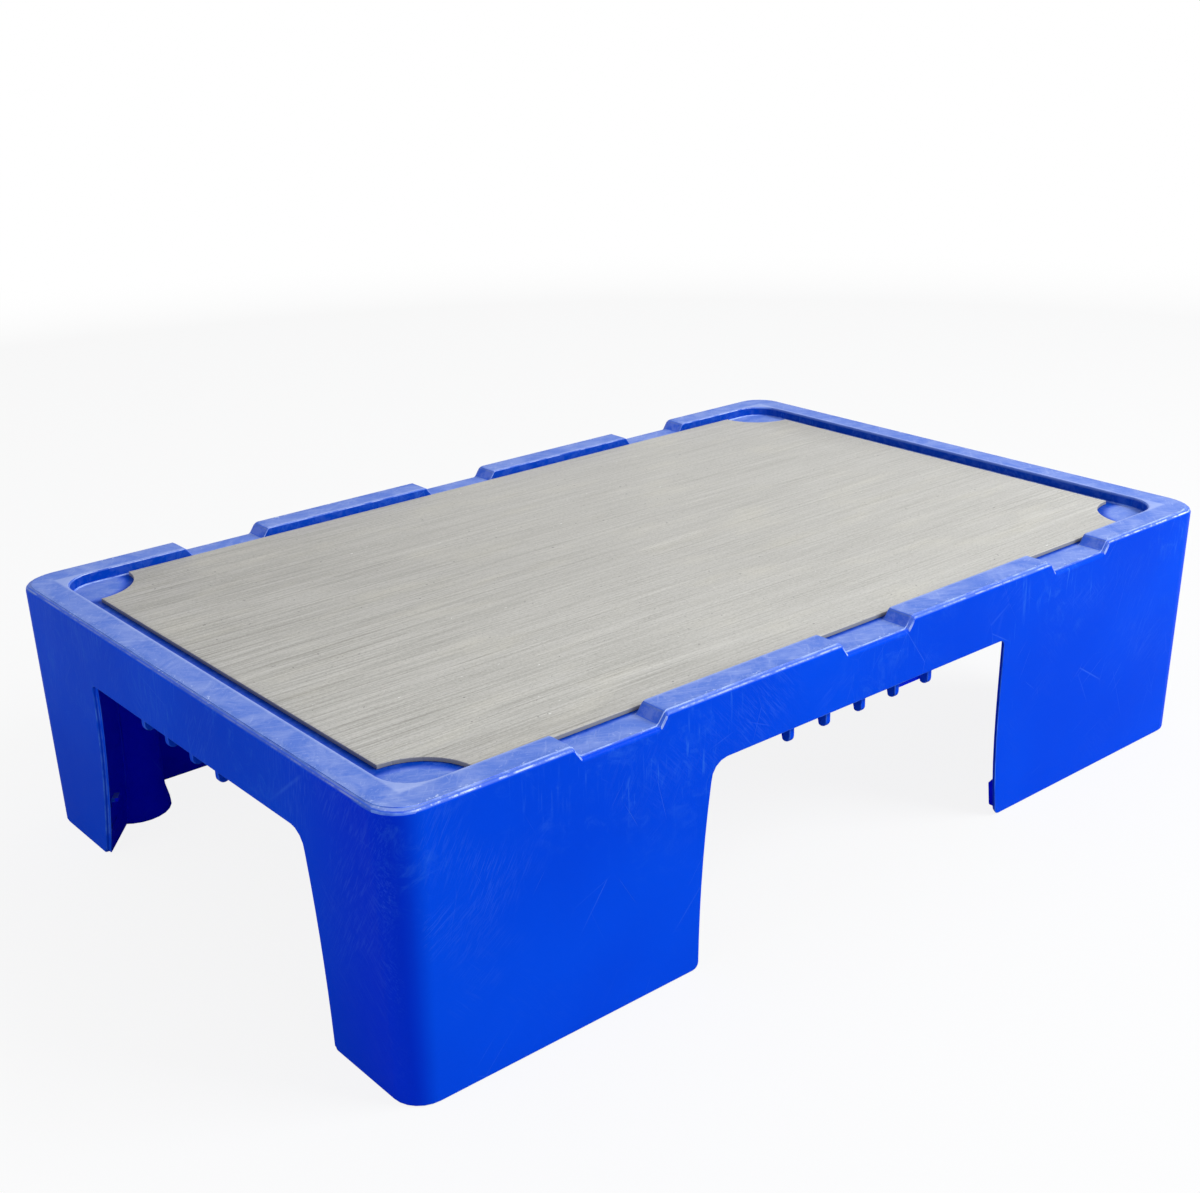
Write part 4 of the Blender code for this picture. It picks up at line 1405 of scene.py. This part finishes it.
@dataclass
class Studio:
    """A plain pale floor, soft light and the photograph's camera."""

    image_width: float = 1200.0
    focal_pixels: float = 1680.07404
    yaw: float = 0.69089
    pitch: float = 0.36507
    roll: float = -0.02411
    place: Triple = (-0.72029, -0.83435, 0.55541)
    sensor_mm: float = 36.0
    floor_reach: float = 30.0
    floor_colour: Colour = (0.42, 0.42, 0.43)
    floor_roughness: float = 0.9
    floor_share: float = 0.80
    floor_glow: float = 1.10
    floor_near: float = 0.45
    floor_far: float = 2.3
    world_strength: float = 0.42
    lights: tuple[SoftBox, ...] = (
        SoftBox("key_softbox", (1.1, -1.5, 1.5), 1.2, 52.0, (0.97, 1.01, 1.03)),
        SoftBox("top_softbox", (0.55, 0.6, 2.2), 2.0, 7.2),
        SoftBox("side_fill", (-2.2, -0.3, 0.7), 1.2, 9.8),
    )

    def camera(self) -> None:
        """Set the camera up as the photograph was taken."""
        forward = Vector((
            math.cos(self.pitch) * math.sin(self.yaw),
            math.cos(self.pitch) * math.cos(self.yaw),
            -math.sin(self.pitch),
        ))
        right = forward.cross(Vector((0.0, 0.0, 1.0))).normalized()
        up = right.cross(forward)
        rolled_right = math.cos(self.roll) * right + math.sin(self.roll) * up
        rolled_up = -math.sin(self.roll) * right + math.cos(self.roll) * up
        pose = Matrix((rolled_right, rolled_up, -forward)).transposed().to_4x4()
        pose.translation = self.place
        data = bpy.data.cameras.new("photo_camera")
        data.sensor_width = self.sensor_mm
        data.sensor_fit = "HORIZONTAL"
        data.lens = self.sensor_mm * self.focal_pixels / self.image_width
        camera = bpy.data.objects.new("photo_camera", data)
        camera.matrix_world = pose
        bpy.context.scene.collection.objects.link(camera)
        bpy.context.scene.camera = camera

    def seen(self, tree: Tree) -> Socket:
        """Return 1 for rays from the camera, from glossy faces and through clear ones."""
        path = tree.add("ShaderNodeLightPath").outputs
        return tree.most(path["Is Camera Ray"], path["Is Glossy Ray"], path["Is Transmission Ray"])

    def floor(self) -> None:
        """Lay the pale floor, which turns to plain white far from the object."""
        bm = bmesh.new()
        reach = self.floor_reach
        bm.faces.new([bm.verts.new((x * reach, y * reach, 0.0)) for x, y in CORNERS])
        item = link_mesh("studio_floor", bm)
        paint = Paint("pale_floor")
        far = paint.span(paint.length(paint.place), self.floor_near, self.floor_far)
        fade = {0: far, 1: self.floor_share, 2: 1.0, 3: self.floor_glow, 4: 1.0}
        glow = paint.out("ShaderNodeEmission", {0: WHITE, 1: paint.out("ShaderNodeMapRange", fade)})
        camera = paint.add("ShaderNodeLightPath").outputs["Is Camera Ray"]
        share = paint.most(paint.times(camera, self.floor_share), paint.times(far, self.seen(paint)))
        mix = paint.out("ShaderNodeMixShader", {0: share, 1: paint.shader.outputs[0], 2: glow})
        paint.feed(paint.tree.nodes["Material Output"].inputs[0], mix)
        matt = {"Roughness": self.floor_roughness, "Specular_IOR_Level": 0.0}
        item.data.materials.append(paint.finish(Base_Color=self.floor_colour, **matt))

    def world(self) -> None:
        """Fill the scene with soft light, and show white to the camera and in reflections."""
        world = bpy.data.worlds.new("studio")
        world.use_nodes = True
        bpy.context.scene.world = world
        tree = Tree(world.node_tree)
        background = tree.tree.nodes["Background"]
        tree.feed(background.inputs["Color"], WHITE)
        gain = tree.times(self.seen(tree), 1.0 - self.world_strength)
        tree.feed(background.inputs["Strength"], tree.total(gain, self.world_strength))

    def build(self) -> None:
        """Set up the whole studio."""
        self.camera()
        self.floor()
        self.world()
        for light in self.lights:
            light.hang()
        bpy.context.scene.view_settings.view_transform = "Standard"


def main() -> None:
    """Build and dress every piece."""
    logging.basicConfig(level=logging.INFO, format="%(name)s: %(message)s")
    rubber = BlackRubber().material()
    steel = ZincSteel().material()
    hook = BlackTape("black_hook_tape_weave", (0.030, 0.030, 0.033), (0.006, 0.006, 0.007), 1100.0)
    loop = BlackTape("black_loop_tape_weave", (0.045, 0.045, 0.050), (0.012, 0.012, 0.013), 700.0)
    tapes = {Tape.HOOK: hook.material(), Tape.LOOP: loop.material()}
    pieces = [MouldedShell(MouldedBlue()), SurfaceMat(GreyVinyl())]
    pieces += [RubberFoot(leg, rubber) for leg in Leg]
    pieces += [FootScrew(leg, steel) for leg in Leg]
    pieces += [TapePatch(tape, label, tapes[tape]) for tape in Tape for label in PATCH_LABELS]
    for piece in pieces:
        piece.dress(piece.build())
    Studio().build()


if __name__ == "__main__":
    main()
